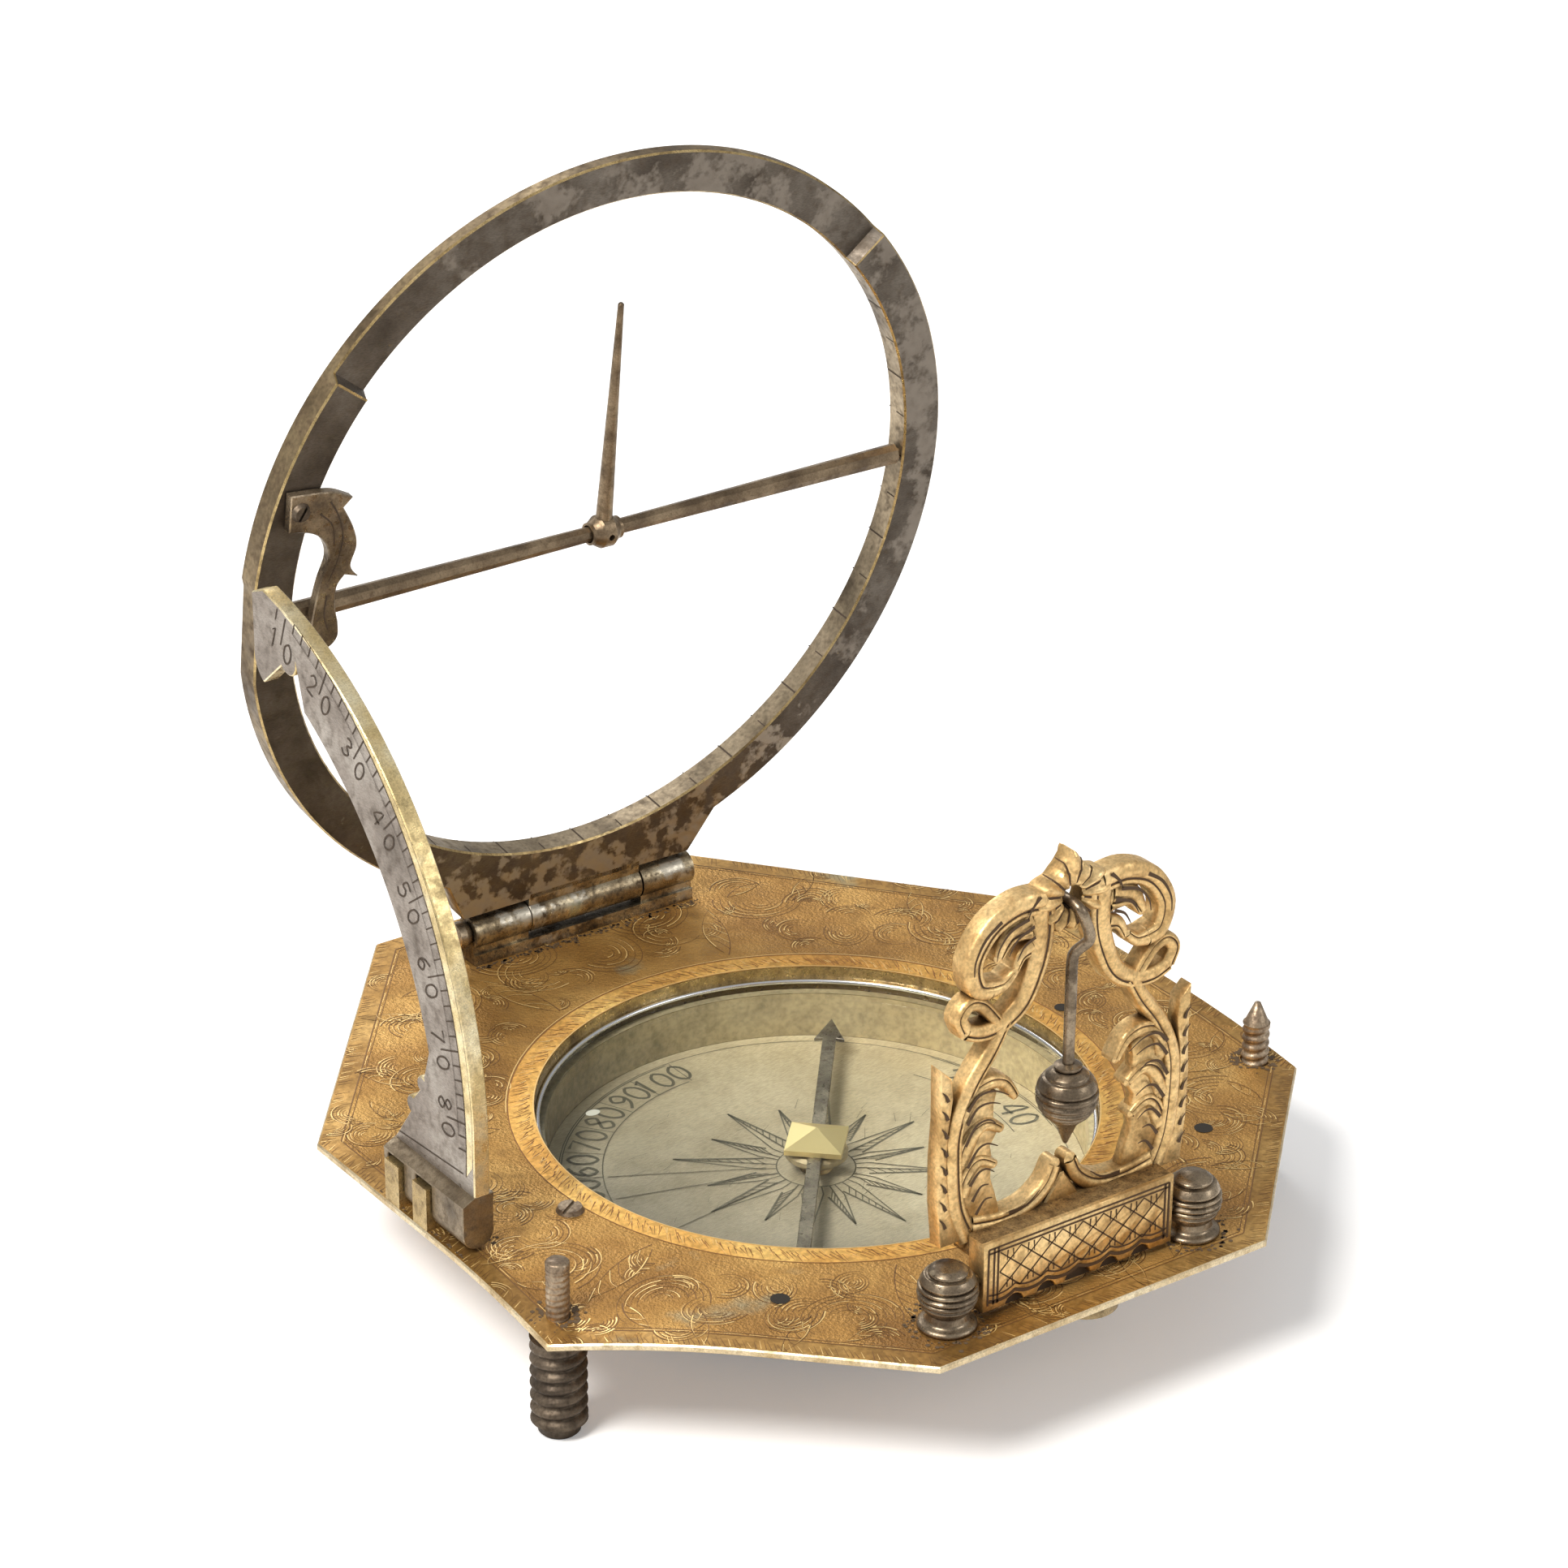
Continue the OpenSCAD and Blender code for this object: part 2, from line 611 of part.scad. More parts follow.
// A turned ball, split round the bar
module gnomon_hub() {
    color(brass) in_ring() translate([ring_east, ring_reach, bar_set]) difference() {
        rotate([0, 90, 0]) rotate_extrude() polygon([
            [0, -1.15], [0.75, -1.15], [0.75, -0.95], [hub_r, -0.4], [hub_r, 0.4], [0.75, 0.95],
            [0.75, 1.15], [0, 1.15]
        ]);
        rotate([0, 90, 0]) translate([0, 0, -3]) cylinder(r = bar_mid_r + 0.1, h = 6);
        rotate([-90, 0, 0]) cylinder(r = gnomon_base_r, h = 3);
        cylinder(r = 0.22, h = 3);
    }
}

module gnomon_pin() {
    seat = bar_mid_r + 0.12;
    color(brass) in_ring() translate([ring_east, ring_reach + seat, bar_set]) rotate([-90, 0, 0]) {
        cylinder(r = gnomon_base_r - 0.01, h = 0.6);
        translate([0, 0, 0.6])
            cylinder(r1 = gnomon_base_r - 0.01, r2 = gnomon_tip_r, h = gnomon_len - seat - 0.6);
    }
}

// Two square lugs on the plate, which stand in the notches of the arc's foot
module arc_hinge_lugs() {
    color(gilt) on_plate() difference() {
        for (y = lug_spans) translate([arc_hinge_x - lug_out, y[0], 0])
            cube([lug_out + lug_in, y[1] - y[0], lug_tops]);
        translate([arc_hinge_x, 0, arc_hinge_z]) bar_y(arc_pin_r, arc_block_south, arc_block_north + 1);
    }
}

module arc_hinge_pin() {
    color(brass) on_plate() translate([arc_hinge_x, 0, arc_hinge_z])
        bar_y(arc_pin_r, arc_block_south + 0.3, arc_block_north + 0.25);
}

// Outline of the arc, Y north and Z up, from the compass centre on the plate
module arc_outline() {
    c_in = arc_c_in;
    toe = arc_block_north;
    foot = [arc_block_south, arc_foot_h - 0.5];
    polygon(concat(
        [foot],
        arc_pts(arc_c_out, arc_out_r, 180, 101, 24),
        [c_in + [-7.7, 30.4]],
        arc_pts(c_in + [-9.8, 26.5], 2.1, 10, -60, 4),
        arc_pts(c_in + [-11.8, 27.3], 1, -40, -190, 5),
        arc_pts(c_in, arc_in_r, 119, 165, 16),
        [c_in + [-26.4, 5.2]],
        arc_pts([toe - 3.3, arc_foot_h + 5.1], 0.55, 120, -60, 4),
        arc_pts([toe - 2.1, arc_foot_h + 3.2], 0.6, 110, -70, 4),
        [[toe - 0.6, arc_foot_h + 0.8], [toe, arc_foot_h], [toe, arc_foot_h - 0.5]]
    ));
}

module latitude_arc() {
    z_cut = arc_hinge_z + norm([lug_in, lug_tops - arc_hinge_z]) + lug_play;
    color(silvered) on_plate() difference() {
        union() {
            across_x(arc_x - arc_t, arc_x) arc_outline();
            translate([arc_hinge_x - arc_block_half, arc_block_south, arc_hinge_z])
                cube([2 * arc_block_half, arc_block_north - arc_block_south, arc_foot_h - arc_hinge_z]);
            translate([arc_hinge_x, 0, arc_hinge_z]) bar_y(arc_foot_r, arc_block_south, arc_block_north);
        }
        for (y = lug_spans) {
            translate([arc_hinge_x - 4, y[0] - lug_play, -1])
                cube([8, y[1] - y[0] + 2 * lug_play, 1 + z_cut]);
        }
        translate([arc_hinge_x, 0, arc_hinge_z])
            bar_y(arc_pin_r + run_fit, arc_block_south - 1, arc_block_north + 1);
    }
}

// Turned ball posts riveted into the plate
module stand_posts() {
    z = stand_hinge_z;
    color(dark_brass) on_plate() for (s = [-1, 1]) translate([s * post_x, -stand_hinge_y, 0])
        difference() {
            union() {
                translate([0, 0, -plate_t]) cylinder(r = post_shank_r, h = plate_t + 0.2);
                rotate_extrude() polygon(concat(
                    [[0, 0], [ball_r * 0.92, 0], [ball_r * 0.95, 0.2], [ball_r * 0.7, 0.45]],
                    arc_pts([0, z], ball_r, -50, 62, 14),
                    [[ball_r * 0.4, z + ball_r * 0.93], [0, z + ball_r]]
                ));
            }
            translate([0, 0, z]) bar_x(pivot_pin_r, s < 0 ? 0 : -3, s < 0 ? 3 : 0);
        }
}

module stand_pivot_pins() {
    color(brass) on_plate() translate([0, -stand_hinge_y, stand_hinge_z]) for (s = [0, 1])
        mirror([s, 0, 0]) bar_x(pivot_pin_r, block_half - 1.2, post_x);
}

// Half of the pierced scrollwork, X east of the middle and Z up from the plate
module scroll_half() {
    // crest leaf
    polygon(to_posts(concat(
        smooth([[-0.3, 28.3], [0.5, 27.7], [1.1, 26.9], [1.9, 26.5], [2.9, 26]], 4),
        smooth([[2.6, 24.6], [1.5, 23.4], [0.5, 23], [-0.3, 23.2]], 4)
    )));
    // big scroll, curling in at its end
    band([[2.2, 25.4], [4, 25.5], [5.9, 24.7], [7.1, 22.9], [6.8, 21.2], [5.8, 20.8]], 1.4, 1.1);
    band([[5.8, 20.8], [4.9, 20.9], [4.2, 21.5]], 1.1, 0.5);
    // inner band, down to the small ring
    band([[2.1, 25], [2.1, 23], [2.5, 21.2], [3.4, 19.3], [4.8, 18.3], [6.3, 18.1], [7.5, 18.5]], 1.7, 0.9);
    band([[7.5, 18.5], [7.9, 19.5], [7.3, 20.2], [6.5, 20], [5.9, 19.4], [5.2, 18.5]], 0.9, 0.7);
    // leaf inside the big scroll
    band([[3, 24], [4.4, 23.6], [5, 22.6]], 1.6, 0.5);
    // stem and outer column
    band([[4.7, 18.4], [5.6, 16.8], [7.2, 14.7], [8.5, 12.2], [8.8, 9.6], [8.5, 6.8], [7.4, 4.6]], 1, 1.5);
    band([[9.2, 16.6], [8.9, 15.4], [9, 12.8], [9.1, 10.5], [8.8, 7], [8, 4.8]], 0.5, 1.2);
    // acanthus leaves inside the column
    band([[8, 12.4], [7.2, 14], [5.8, 14.6], [4.6, 14.3], [3.9, 13.5]], 1.6, 0.5);
    band([[8, 9.6], [7, 11.2], [5.9, 11.6], [5, 11.2]], 1.8, 0.5);
    band([[7.9, 7.4], [7, 9], [6.3, 9.2], [5.5, 8.8]], 1.6, 0.5);
    band([[7.7, 12.8], [7.4, 10], [7, 7.2], [6.2, 5.3]], 2.2, 1.8);
    // horn over the base
    band([[6.8, 5.2], [4.6, 4.9], [2.6, 5.2], [1.2, 6.2], [0.6, 7.4]], 1.4, 0.6);
    translate([0, 3.6]) square([block_half + 0.8, 1.6]);
    polygon([[-0.1, 3.6], [-0.1, 7], [1.6, 4.4], [1.6, 3.6]]);
}

module scroll_outline() {
    scroll_half();
    mirror([1, 0]) scroll_half();
}

// The apron's lower edge, scalloped, with an arch in the middle
module apron_outline() {
    low = 0.35;
    lobes = 6;
    pitch = 2 * block_half / lobes;
    difference() {
        translate([-block_half, low]) square([2 * block_half, block_top - low]);
        for (i = [1 : lobes - 1]) translate([-block_half + i * pitch, low - 0.15])
            circle(r = i == lobes / 2 ? 0.85 : 0.5, $fn = 32);
    }
}

module plumb_stand() {
    y0 = -stand_hinge_y;
    color(gilt) on_plate() difference() {
        union() {
            across_y(y0 + scroll_front, y0 + scroll_back) difference() {
                scroll_outline();
                translate([-20, 0]) square([40, 3.6]);
            }
            across_y(y0 - apron_front, y0 + block_back) apron_outline();
            translate([-block_half, y0 - apron_front, 3.6])
                cube([2 * block_half, apron_front + scroll_front + eps, block_top - 3.6]);
        }
        translate([0, 0, hook_hole_z]) bar_y(hook_hole_r, y0, y0 + 4);
        translate([0, y0, stand_hinge_z]) for (s = [0, 1]) mirror([s, 0, 0])
            bar_x(pivot_pin_r + run_fit, block_half - 1.4, block_half + 1);
    }
}

// The bent wire that hangs in the hole of the stand
module bob_hook() {
    y_mid = -stand_hinge_y + (scroll_front + scroll_back) / 2;
    leg = scroll_t / 2 + wire_r + 0.2;
    z = wire_z;
    color(dark_brass) on_plate() {
        wire([
            [0, y_mid + leg + 0.1, z - 0.9], [0, y_mid + leg - 0.05, z - 0.25], [0, y_mid + leg - 0.5, z],
            [0, y_mid, z], [0, y_mid - leg + 0.5, z], [0.1, y_mid - leg - 0.05, z - 0.4],
            [0.6, y_mid - leg - 0.1, z - 1.6], [0.7, y_mid - leg, z - 2.4], [0.1, bob_y - 0.1, z - 3.2],
            [0, bob_y, z - 4], [0, bob_y, z - 6]
        ], wire_r);
        translate([0, bob_y, bob_top - 0.6]) cylinder(r = wire_r + 0.03, h = z - 6 - bob_top + 0.6 + 0.3);
    }
}

// Turned bob: collar, ball with grooves, and a small hanging point
module plumb_bob() {
    color(dark_brass) on_plate() translate([0, bob_y, bob_z]) difference() {
        rotate_extrude() polygon(concat(
            [[0, -3.35], [0.15, -3.3], [0.7, -1.95], [0.8, -1.8]],
            arc_pts([0, 0], bob_r, -66, 64, 16),
            [[0.85, bob_r - 0.08], [0.85, 2], [0.6, 2.1], [0, 2.1]]
        ));
        translate([0, 0, 1.4]) cylinder(r = wire_r + 0.05, h = 2);
    }
}

// The leaf spring under the plate that holds the stand up or down
module stand_spring() {
    color(brass) on_plate() difference() {
        translate([0, 0, -plate_t - 0.5]) linear_extrude(0.5) {
            translate([-1.5, spring_end_y]) square([3, spring_screw_y - spring_end_y]);
            translate([0, spring_screw_y]) circle(r = spring_boss_r - 0.05);
            translate([0, spring_end_y]) circle(r = spring_end_r);
        }
        translate([0, spring_screw_y, -plate_t - 2]) cylinder(r = screw_shank_r, h = 3);
    }
}

module stand_spring_screw() {
    color(dark_brass) on_plate() translate([0, spring_screw_y, -plate_t - 0.5]) difference() {
        union() {
            cylinder(r = screw_shank_r, h = plate_t + 0.4);
            translate([0, 0, -0.35]) cylinder(r1 = 0.75, r2 = 0.95, h = 0.35);
        }
        translate([-2, -0.12, -1]) cube([4, 0.24, 0.85]);
    }
}

// A levelling screw: a turned, ribbed foot under the plate and a stud through it
module levelling_screw(r, pointed) {
    shoulder = stand_h - foot_gap;
    toe = 0.9;
    rib = (shoulder - toe - 0.5) / foot_ribs;
    color(dark_brass) {
        rotate_extrude() polygon(concat(
            [[0, 0], [toe_r - 0.15, 0], [toe_r, 0.15], [toe_r, toe], [foot_r - 0.35, toe]],
            [for (i = [0 : foot_ribs - 1]) for (k = [0 : 4])
                [foot_r - 0.35 + 0.35 * sin(180 * k / 4), toe + rib * (i + k / 4 * 0.98 + 0.01)]],
            [[foot_r - 0.35, shoulder - 0.45], [r + 0.1, shoulder], [0, shoulder]]
        ));
        translate([0, 0, shoulder - 0.5]) cylinder(r = r, h = foot_gap + plate_t + stud_h - 0.4);
        translate([0, 0, top_z + stud_h - 0.9])
            cylinder(r1 = r, r2 = pointed ? 0.15 : r - 0.12, h = pointed ? 1.5 : 0.9);
    }
}

module levelling_screw_west() {
    translate([-foot_x, compass_y - foot_south, 0]) levelling_screw(stud_r, false);
}

module levelling_screw_east() {
    translate([foot_x, compass_y - foot_south, 0]) levelling_screw(coarse_stud_r, true);
}

module levelling_screw_north() {
    translate([0, compass_y + foot_north_y, 0]) levelling_screw(stud_r, false);
}

base_plate();
compass_box();
compass_card();
compass_glass();
glass_ring();
needle_pivot();
box_screw();
compass_needle();
needle_cap();
ring_hinge_leaf();
ring_hinge_pin();
hinge_rivets();
hour_ring();
gnomon_spring();
gnomon_spring_screw();
gnomon_bar();
gnomon_hub();
gnomon_pin();
arc_hinge_lugs();
arc_hinge_pin();
latitude_arc();
stand_posts();
stand_pivot_pins();
plumb_stand();
bob_hook();
plumb_bob();
stand_spring();
stand_spring_screw();
levelling_screw_west();
levelling_screw_east();
levelling_screw_north();
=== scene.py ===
"""Looks of the pocket equatorial sundial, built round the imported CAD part."""

import math
import random

import bpy
import numpy as np
from mathutils import Matrix, Vector


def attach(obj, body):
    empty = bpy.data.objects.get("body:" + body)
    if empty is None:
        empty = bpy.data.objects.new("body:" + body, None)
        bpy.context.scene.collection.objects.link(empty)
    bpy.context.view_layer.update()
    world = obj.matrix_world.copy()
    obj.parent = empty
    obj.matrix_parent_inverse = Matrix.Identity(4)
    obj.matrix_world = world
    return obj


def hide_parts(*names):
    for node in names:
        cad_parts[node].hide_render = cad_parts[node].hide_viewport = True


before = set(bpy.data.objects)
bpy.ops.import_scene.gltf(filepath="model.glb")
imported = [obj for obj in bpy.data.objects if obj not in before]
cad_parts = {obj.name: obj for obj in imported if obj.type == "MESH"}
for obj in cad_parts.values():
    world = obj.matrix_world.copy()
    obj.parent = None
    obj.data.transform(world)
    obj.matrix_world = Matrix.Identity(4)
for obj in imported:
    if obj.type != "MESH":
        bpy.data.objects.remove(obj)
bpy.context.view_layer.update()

# Sizes, in millimetres
# Lengths are in the compass frame: origin at the compass centre on the plate's top.
MM = 0.001
TOP_Z = 8.6
COMPASS_Y = -2.35

PLATE_HALF_W, PLATE_N, PLATE_S, PLATE_T = 29.0, 34.1, 29.4, 0.5
NORTH_HALF, SOUTH_HALF, SIDE_NORTH, SIDE_SOUTH = 12.1, 12.4, 13.3, 13.1
COMPASS_R, SEAT_R, CARD_Z, GLASS_TOP, GLASS_T = 18.0, 17.4, -5.1, -1.2, 0.62
BAND_R = 19.7

HINGE_Y, HINGE_Z, RING_TILT = 28.4, 2.2, 82.0
RING_RO, RING_RI, RING_T, RING_THIN = 26.5, 23.65, 1.8, 1.0
RING_SET, RING_REACH, RING_EAST = 0.5, 28.7, 0.3
RING_CENTRE = np.array([RING_EAST, RING_REACH])
THIN_FROM, THIN_TO, THIN_RAMP = 42, 142, 0.9
LUG_HALF, LUG_FOOT = 9.0, 1.5

ARC_X, ARC_T = -26.65, 1.1
ARC_HINGE_X, ARC_HINGE_Z, ARC_FOOT_R = -27.5, 1.3, 1.1
ARC_OUT_C, ARC_OUT_R = np.array([HINGE_Y - 3.4, HINGE_Z + 5.3]), 28.3
ARC_IN_C, ARC_IN_R = np.array([HINGE_Y + 0.25, HINGE_Z + 2.1]), 28.0
ARC_BEVEL_C, ARC_BEVEL_R = np.array([27.33, 6.91]), 29.84
ARC_SOUTH, ARC_NORTH, ARC_FOOT_H = -3.3, 5.8, 3.8

STAND_Y, STAND_Z = -25.9, 2.4
SCROLL_FRONT, SCROLL_BACK = 1.0, 2.3
SCROLL_T = SCROLL_BACK - SCROLL_FRONT
POST_X, BALL_R = 9.3, 1.85
BLOCK_HALF, BLOCK_TOP, APRON_FRONT, BLOCK_BACK, LOBES = 7.2, 5.0, 0.7, 0.8, 6
HOOK_HOLE_Z, HOOK_HOLE_R = 25.1, 0.75
BOB_Y, BOB_Z, BOB_R, WIRE_R = -24.9, 12.15, 1.9, 0.36

FOOT_X, FOOT_Y, FOOT_NORTH_Y = 27.0, -11.2, 31.8
STUD_H, STUD_R, COARSE_STUD_R = 3.2, 0.74, 0.9
FOOT_R, TOE_R, FOOT_GAP, RUN_FIT = 1.75, 1.3, 0.3, 0.05
STUDS = [(-FOOT_X, FOOT_Y, STUD_R), (FOOT_X, FOOT_Y, COARSE_STUD_R), (0, FOOT_NORTH_Y, STUD_R)]

rng = random.Random(41)


# Points and paths
def polar(r, deg):
    a = math.radians(deg)
    return np.array([r * math.cos(a), r * math.sin(a)])


def turned(p, angle):
    """A point turned round the origin; the angle is in radians."""
    c, s = math.cos(angle), math.sin(angle)
    return np.array([p[0] * c - p[1] * s, p[0] * s + p[1] * c])


def between(a, b, t):
    return a + (b - a) * t


def mirrored(points, s):
    return [(s * x, y) for x, y in points]


def smooth(points, steps=6):
    """Catmull-Rom path through the points."""
    p = [np.asarray(q, float) for q in points]
    out = []
    for i in range(len(p) - 1):
        p0, p1, p2, p3 = p[max(i - 1, 0)], p[i], p[i + 1], p[min(i + 2, len(p) - 1)]
        for k in range(steps):
            t = k / steps
            out.append(0.5 * (2 * p1 + (p2 - p0) * t + (2 * p0 - 5 * p1 + 4 * p2 - p3) * t * t
                              + (3 * p1 - p0 - 3 * p2 + p3) * t ** 3))
    out.append(p[-1])
    return np.array(out)


def normals2(path):
    d = np.gradient(path, axis=0)
    d = d / np.maximum(np.linalg.norm(d, axis=1, keepdims=True), 1e-9)
    return np.stack([-d[:, 1], d[:, 0]], axis=1)


def arc_points(c, r, a0, a1, n):
    return [np.asarray(c) + polar(r, a0 + (a1 - a0) * i / n) for i in range(n + 1)]


class Drawing:
    """Flat strokes and patches in a plane, gathered into one mesh."""

    def __init__(self):
        self.verts = []
        self.faces = []

    def ladder(self, pairs):
        """A strip of quads between pairs of points in space."""
        start = len(self.verts)
        self.verts += [p for pair in pairs for p in pair]
        self.faces += [(k, k + 1, k + 3, k + 2) for k in range(start, start + 2 * len(pairs) - 2, 2)]

    def stroke(self, path, width, end=None, height=0.0):
        path = np.asarray(path, float)
        side = normals2(path) * np.linspace(width, width if end is None else end, len(path))[:, None] / 2
        self.ladder([((*a, height), (*b, height)) for a, b in zip(path + side, path - side)])

    def patch(self, outline):
        start = len(self.verts)
        self.verts += [(p[0], p[1], 0.0) for p in outline]
        self.faces.append(tuple(range(start, start + len(outline))))

    def dot(self, centre, r, sides=6):
        turn = rng.uniform(0, 60)
        self.patch([centre + polar(r, turn + 360 * k / sides) for k in range(sides)])

    def disc(self, centre, r, squash=1.0):
        self.patch([centre + polar(r, 15 * k) * (1, squash) for k in range(24)])

    def annulus(self, r0, r1):
        for a in range(0, 360, 2):
            self.patch([polar(r0, a), polar(r1, a), polar(r1, a + 2), polar(r0, a + 2)])

    def circle(self, centre, r, width, start=0, end=360):
        self.stroke(arc_points(centre, r, start, end, max(6, int(abs(end - start) / 4))), width)


# Planes that the pieces are drawn in
# The two southern side corners are bent down a little.
BENT_CORNERS = [((-29.0, -13.1), 1.0), ((29.0, -13.1), 0.8)]
BENT_REACH = 12.5


def droop(x, y):
    total = 0.0
    for (cx, cy), drop in BENT_CORNERS:
        near = max(0.0, 1 - math.hypot(x - cx, y - cy) / BENT_REACH)
        total += drop * near * near
    return total


def to_plate(v, lift=0.0):
    return (v[0], v[1], v[2] + lift)


def on_metal(v, lift=0.0):
    """Like to_plate, but follows the plate's bent corners."""
    return (v[0], v[1], v[2] + lift - droop(v[0], v[1]))


RING_TURN = Matrix.Rotation(math.radians(180 - RING_TILT), 3, "X")


def to_ring(v, lift=0.0):
    """Ring plane: X east, Y up from the hinge axis, Z out of the front face's plane."""
    p = RING_TURN @ Vector((v[0], v[1], v[2] + lift))
    return (p.x, p.y + HINGE_Y, p.z + HINGE_Z)


def to_arc(v, lift=0.0):
    """Drawing plane of the arc: X is north, Y is up, Z is out to the west."""
    return (ARC_X - ARC_T - v[2] - lift, v[0], v[1])


def to_stand(v, lift=0.0):
    """Drawing plane of the scroll plate: X east, Y up, Z out to the south from the front face."""
    return (v[0], STAND_Y + SCROLL_FRONT - v[2] - lift, v[1])


def to_apron(v, lift=0.0):
    """Like to_stand, from the plane of the stand's pivots."""
    return (v[0], STAND_Y - v[2] - lift, v[1])


# Pieces
def placed(name, verts, faces):
    """A new object from points of the compass frame."""
    data = bpy.data.meshes.new(name)
    data.from_pydata([(x * MM, (y + COMPASS_Y) * MM, (z + TOP_Z) * MM) for x, y, z in verts], [], faces)
    ob = bpy.data.objects.new(name, data)
    bpy.context.collection.objects.link(ob)
    return ob


def mesh(name, solid, look, body, where=to_plate, lift=0.0, replaces=(), flat=False, sharp=35):
    """A piece that rides on a body; vertices that no face uses are dropped."""
    verts, faces = solid
    used = sorted({i for face in faces for i in face})
    place = {old: new for new, old in enumerate(used)}
    ob = placed(name, [where(verts[i], lift) for i in used], [[place[i] for i in face] for face in faces])
    data = ob.data
    data.materials.append(look)
    data.validate()
    data.update()
    if not flat:
        data.polygons.foreach_set("use_smooth", [True] * len(data.polygons))
        data.set_sharp_from_angle(angle=math.radians(sharp))
    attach(ob, body)
    if replaces:
        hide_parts(*replaces)
    return ob


def draw(name, drawing, look, body, where=to_plate, lift=0.0):
    mesh(name, (drawing.verts, drawing.faces), look, body, where, lift, flat=True)


def skin(rows, capped=True, looped=False, flipped=False):
    """Vertices and faces of a surface through closed rows of equally many points."""
    n = len(rows[0])
    faces = []
    for i in range(len(rows) - (not looped)):
        j = (i + 1) % len(rows)
        for k in range(n):
            m = (k + 1) % n
            face = (i * n + k, i * n + m, j * n + m, j * n + k)
            faces.append((face[0], *face[:0:-1]) if flipped else face)
    if capped:
        faces += [tuple(reversed(range(n))), tuple(range((len(rows) - 1) * n, len(rows) * n))]
    return [p for row in rows for p in row], faces


def lathe(profile, sides=48):
    """Turned solid about Z from (radius, z) points."""
    circle = [2 * math.pi * k / sides for k in range(sides)]
    return skin([[(r * math.cos(a), r * math.sin(a), z) for a in circle] for r, z in profile])


def moved(solid, dx=0.0, dy=0.0, dz=0.0):
    return [(x + dx, y + dy, z + dz) for x, y, z in solid[0]], solid[1]


def joined(*solids):
    verts, faces = [], []
    for v, f in solids:
        base = len(verts)
        verts += list(v)
        faces += [tuple(base + i for i in face) for face in f]
    return verts, faces


def unit(d):
    return d / np.maximum(np.linalg.norm(d, axis=1, keepdims=True), 1e-9)


def prism(outline, z0, z1, bevel):
    """Upright solid on a simple outline, with a small bevel round its top and bottom edge."""
    outline = np.asarray(outline, float)
    x, y = outline.T
    if np.sum(x * np.roll(y, -1) - np.roll(x, -1) * y) < 0:
        outline = outline[::-1]
    a, b = unit(outline - np.roll(outline, 1, axis=0)), unit(np.roll(outline, -1, axis=0) - outline)
    n1, n2 = np.stack([-a[:, 1], a[:, 0]], axis=1), np.stack([-b[:, 1], b[:, 0]], axis=1)
    spread = np.sqrt(np.maximum(0.1, (1 + np.sum(n1 * n2, axis=1)) / 2))
    inner = outline + unit(n1 + n2) / np.maximum(0.5, spread)[:, None] * bevel
    rows = [(inner, z0), (outline, z0 + bevel), (outline, z1 - bevel), (inner, z1)]
    return skin([[(*p, z) for p in row] for row, z in rows])


def tube(path, r, sides):
    """Round wire along a path in space."""
    path = np.asarray(path, float)
    t = np.gradient(path, axis=0)
    t /= np.linalg.norm(t, axis=1, keepdims=True)
    rows = []
    u = np.cross(t[0], [1.0, 0.2, 0.1])
    for p, d in zip(path, t):
        u = u - d * np.dot(u, d)
        u /= np.linalg.norm(u)
        v = np.cross(d, u)
        rows.append([tuple(p + u * x + v * y) for x, y in (polar(r, 360 * k / sides) for k in range(sides))])
    return skin(rows)


# Materials
def material(name):
    m = bpy.data.materials.new(name)
    m.use_nodes = True
    return m, m.node_tree, m.node_tree.nodes["Principled BSDF"]


def add(tree, kind, **values):
    node = tree.nodes.new(kind)
    for key, value in values.items():
        if key in node.inputs.keys():
            node.inputs[key].default_value = value
        else:
            setattr(node, key, value)
    return node


def feed(tree, value, socket):
    """Links an output to a socket, or sets the socket to a number or a colour."""
    if hasattr(value, "is_output"):
        tree.links.new(value, socket)
    else:
        socket.default_value = (*value, 1) if isinstance(value, tuple) else value


def texture(tree, scale, detail, stretch=(1, 1, 1), kind="ShaderNodeTexNoise", output="Fac"):
    """Noise or cells in object space, with cells of about 1/scale metres."""
    coords = add(tree, "ShaderNodeTexCoord")
    mapping = add(tree, "ShaderNodeMapping", Scale=stretch)
    node = add(tree, kind, Scale=scale, Detail=detail)
    tree.links.new(coords.outputs["Object"], mapping.inputs["Vector"])
    tree.links.new(mapping.outputs["Vector"], node.inputs["Vector"])
    return node.outputs[output]


def ramp(tree, source, stops):
    node = add(tree, "ShaderNodeValToRGB")
    elements = node.color_ramp.elements
    elements.remove(elements[1])
    elements[0].position, elements[0].color = stops[0][0], (*stops[0][1], 1)
    for position, color in stops[1:]:
        elements.new(position).color = (*color, 1)
    tree.links.new(source, node.inputs["Fac"])
    return node.outputs["Color"]


def greys(tree, source, *stops):
    return ramp(tree, source, [(position, (value,) * 3) for position, value in stops])


def mix(tree, factor, a, b, blend="MIX"):
    node = add(tree, "ShaderNodeMix", data_type="RGBA", blend_type=blend)
    for value, socket in ((factor, 0), (a, 6), (b, 7)):
        feed(tree, value, node.inputs[socket])
    return node.outputs[2]


def arithmetic(tree, operation, *values):
    node = add(tree, "ShaderNodeMath", operation=operation)
    for value, socket in zip(values, node.inputs):
        feed(tree, value, socket)
    return node.outputs["Value"]


def bump(tree, shader, sources):
    """Chain of bumps: (height output, strength, distance in millimetres)."""
    last = None
    for height, strength, distance in sources:
        node = add(tree, "ShaderNodeBump", Strength=strength, Distance=distance * MM)
        tree.links.new(height, node.inputs["Height"])
        if last:
            tree.links.new(last.outputs["Normal"], node.inputs["Normal"])
        last = node
    tree.links.new(last.outputs["Normal"], shader.inputs["Normal"])


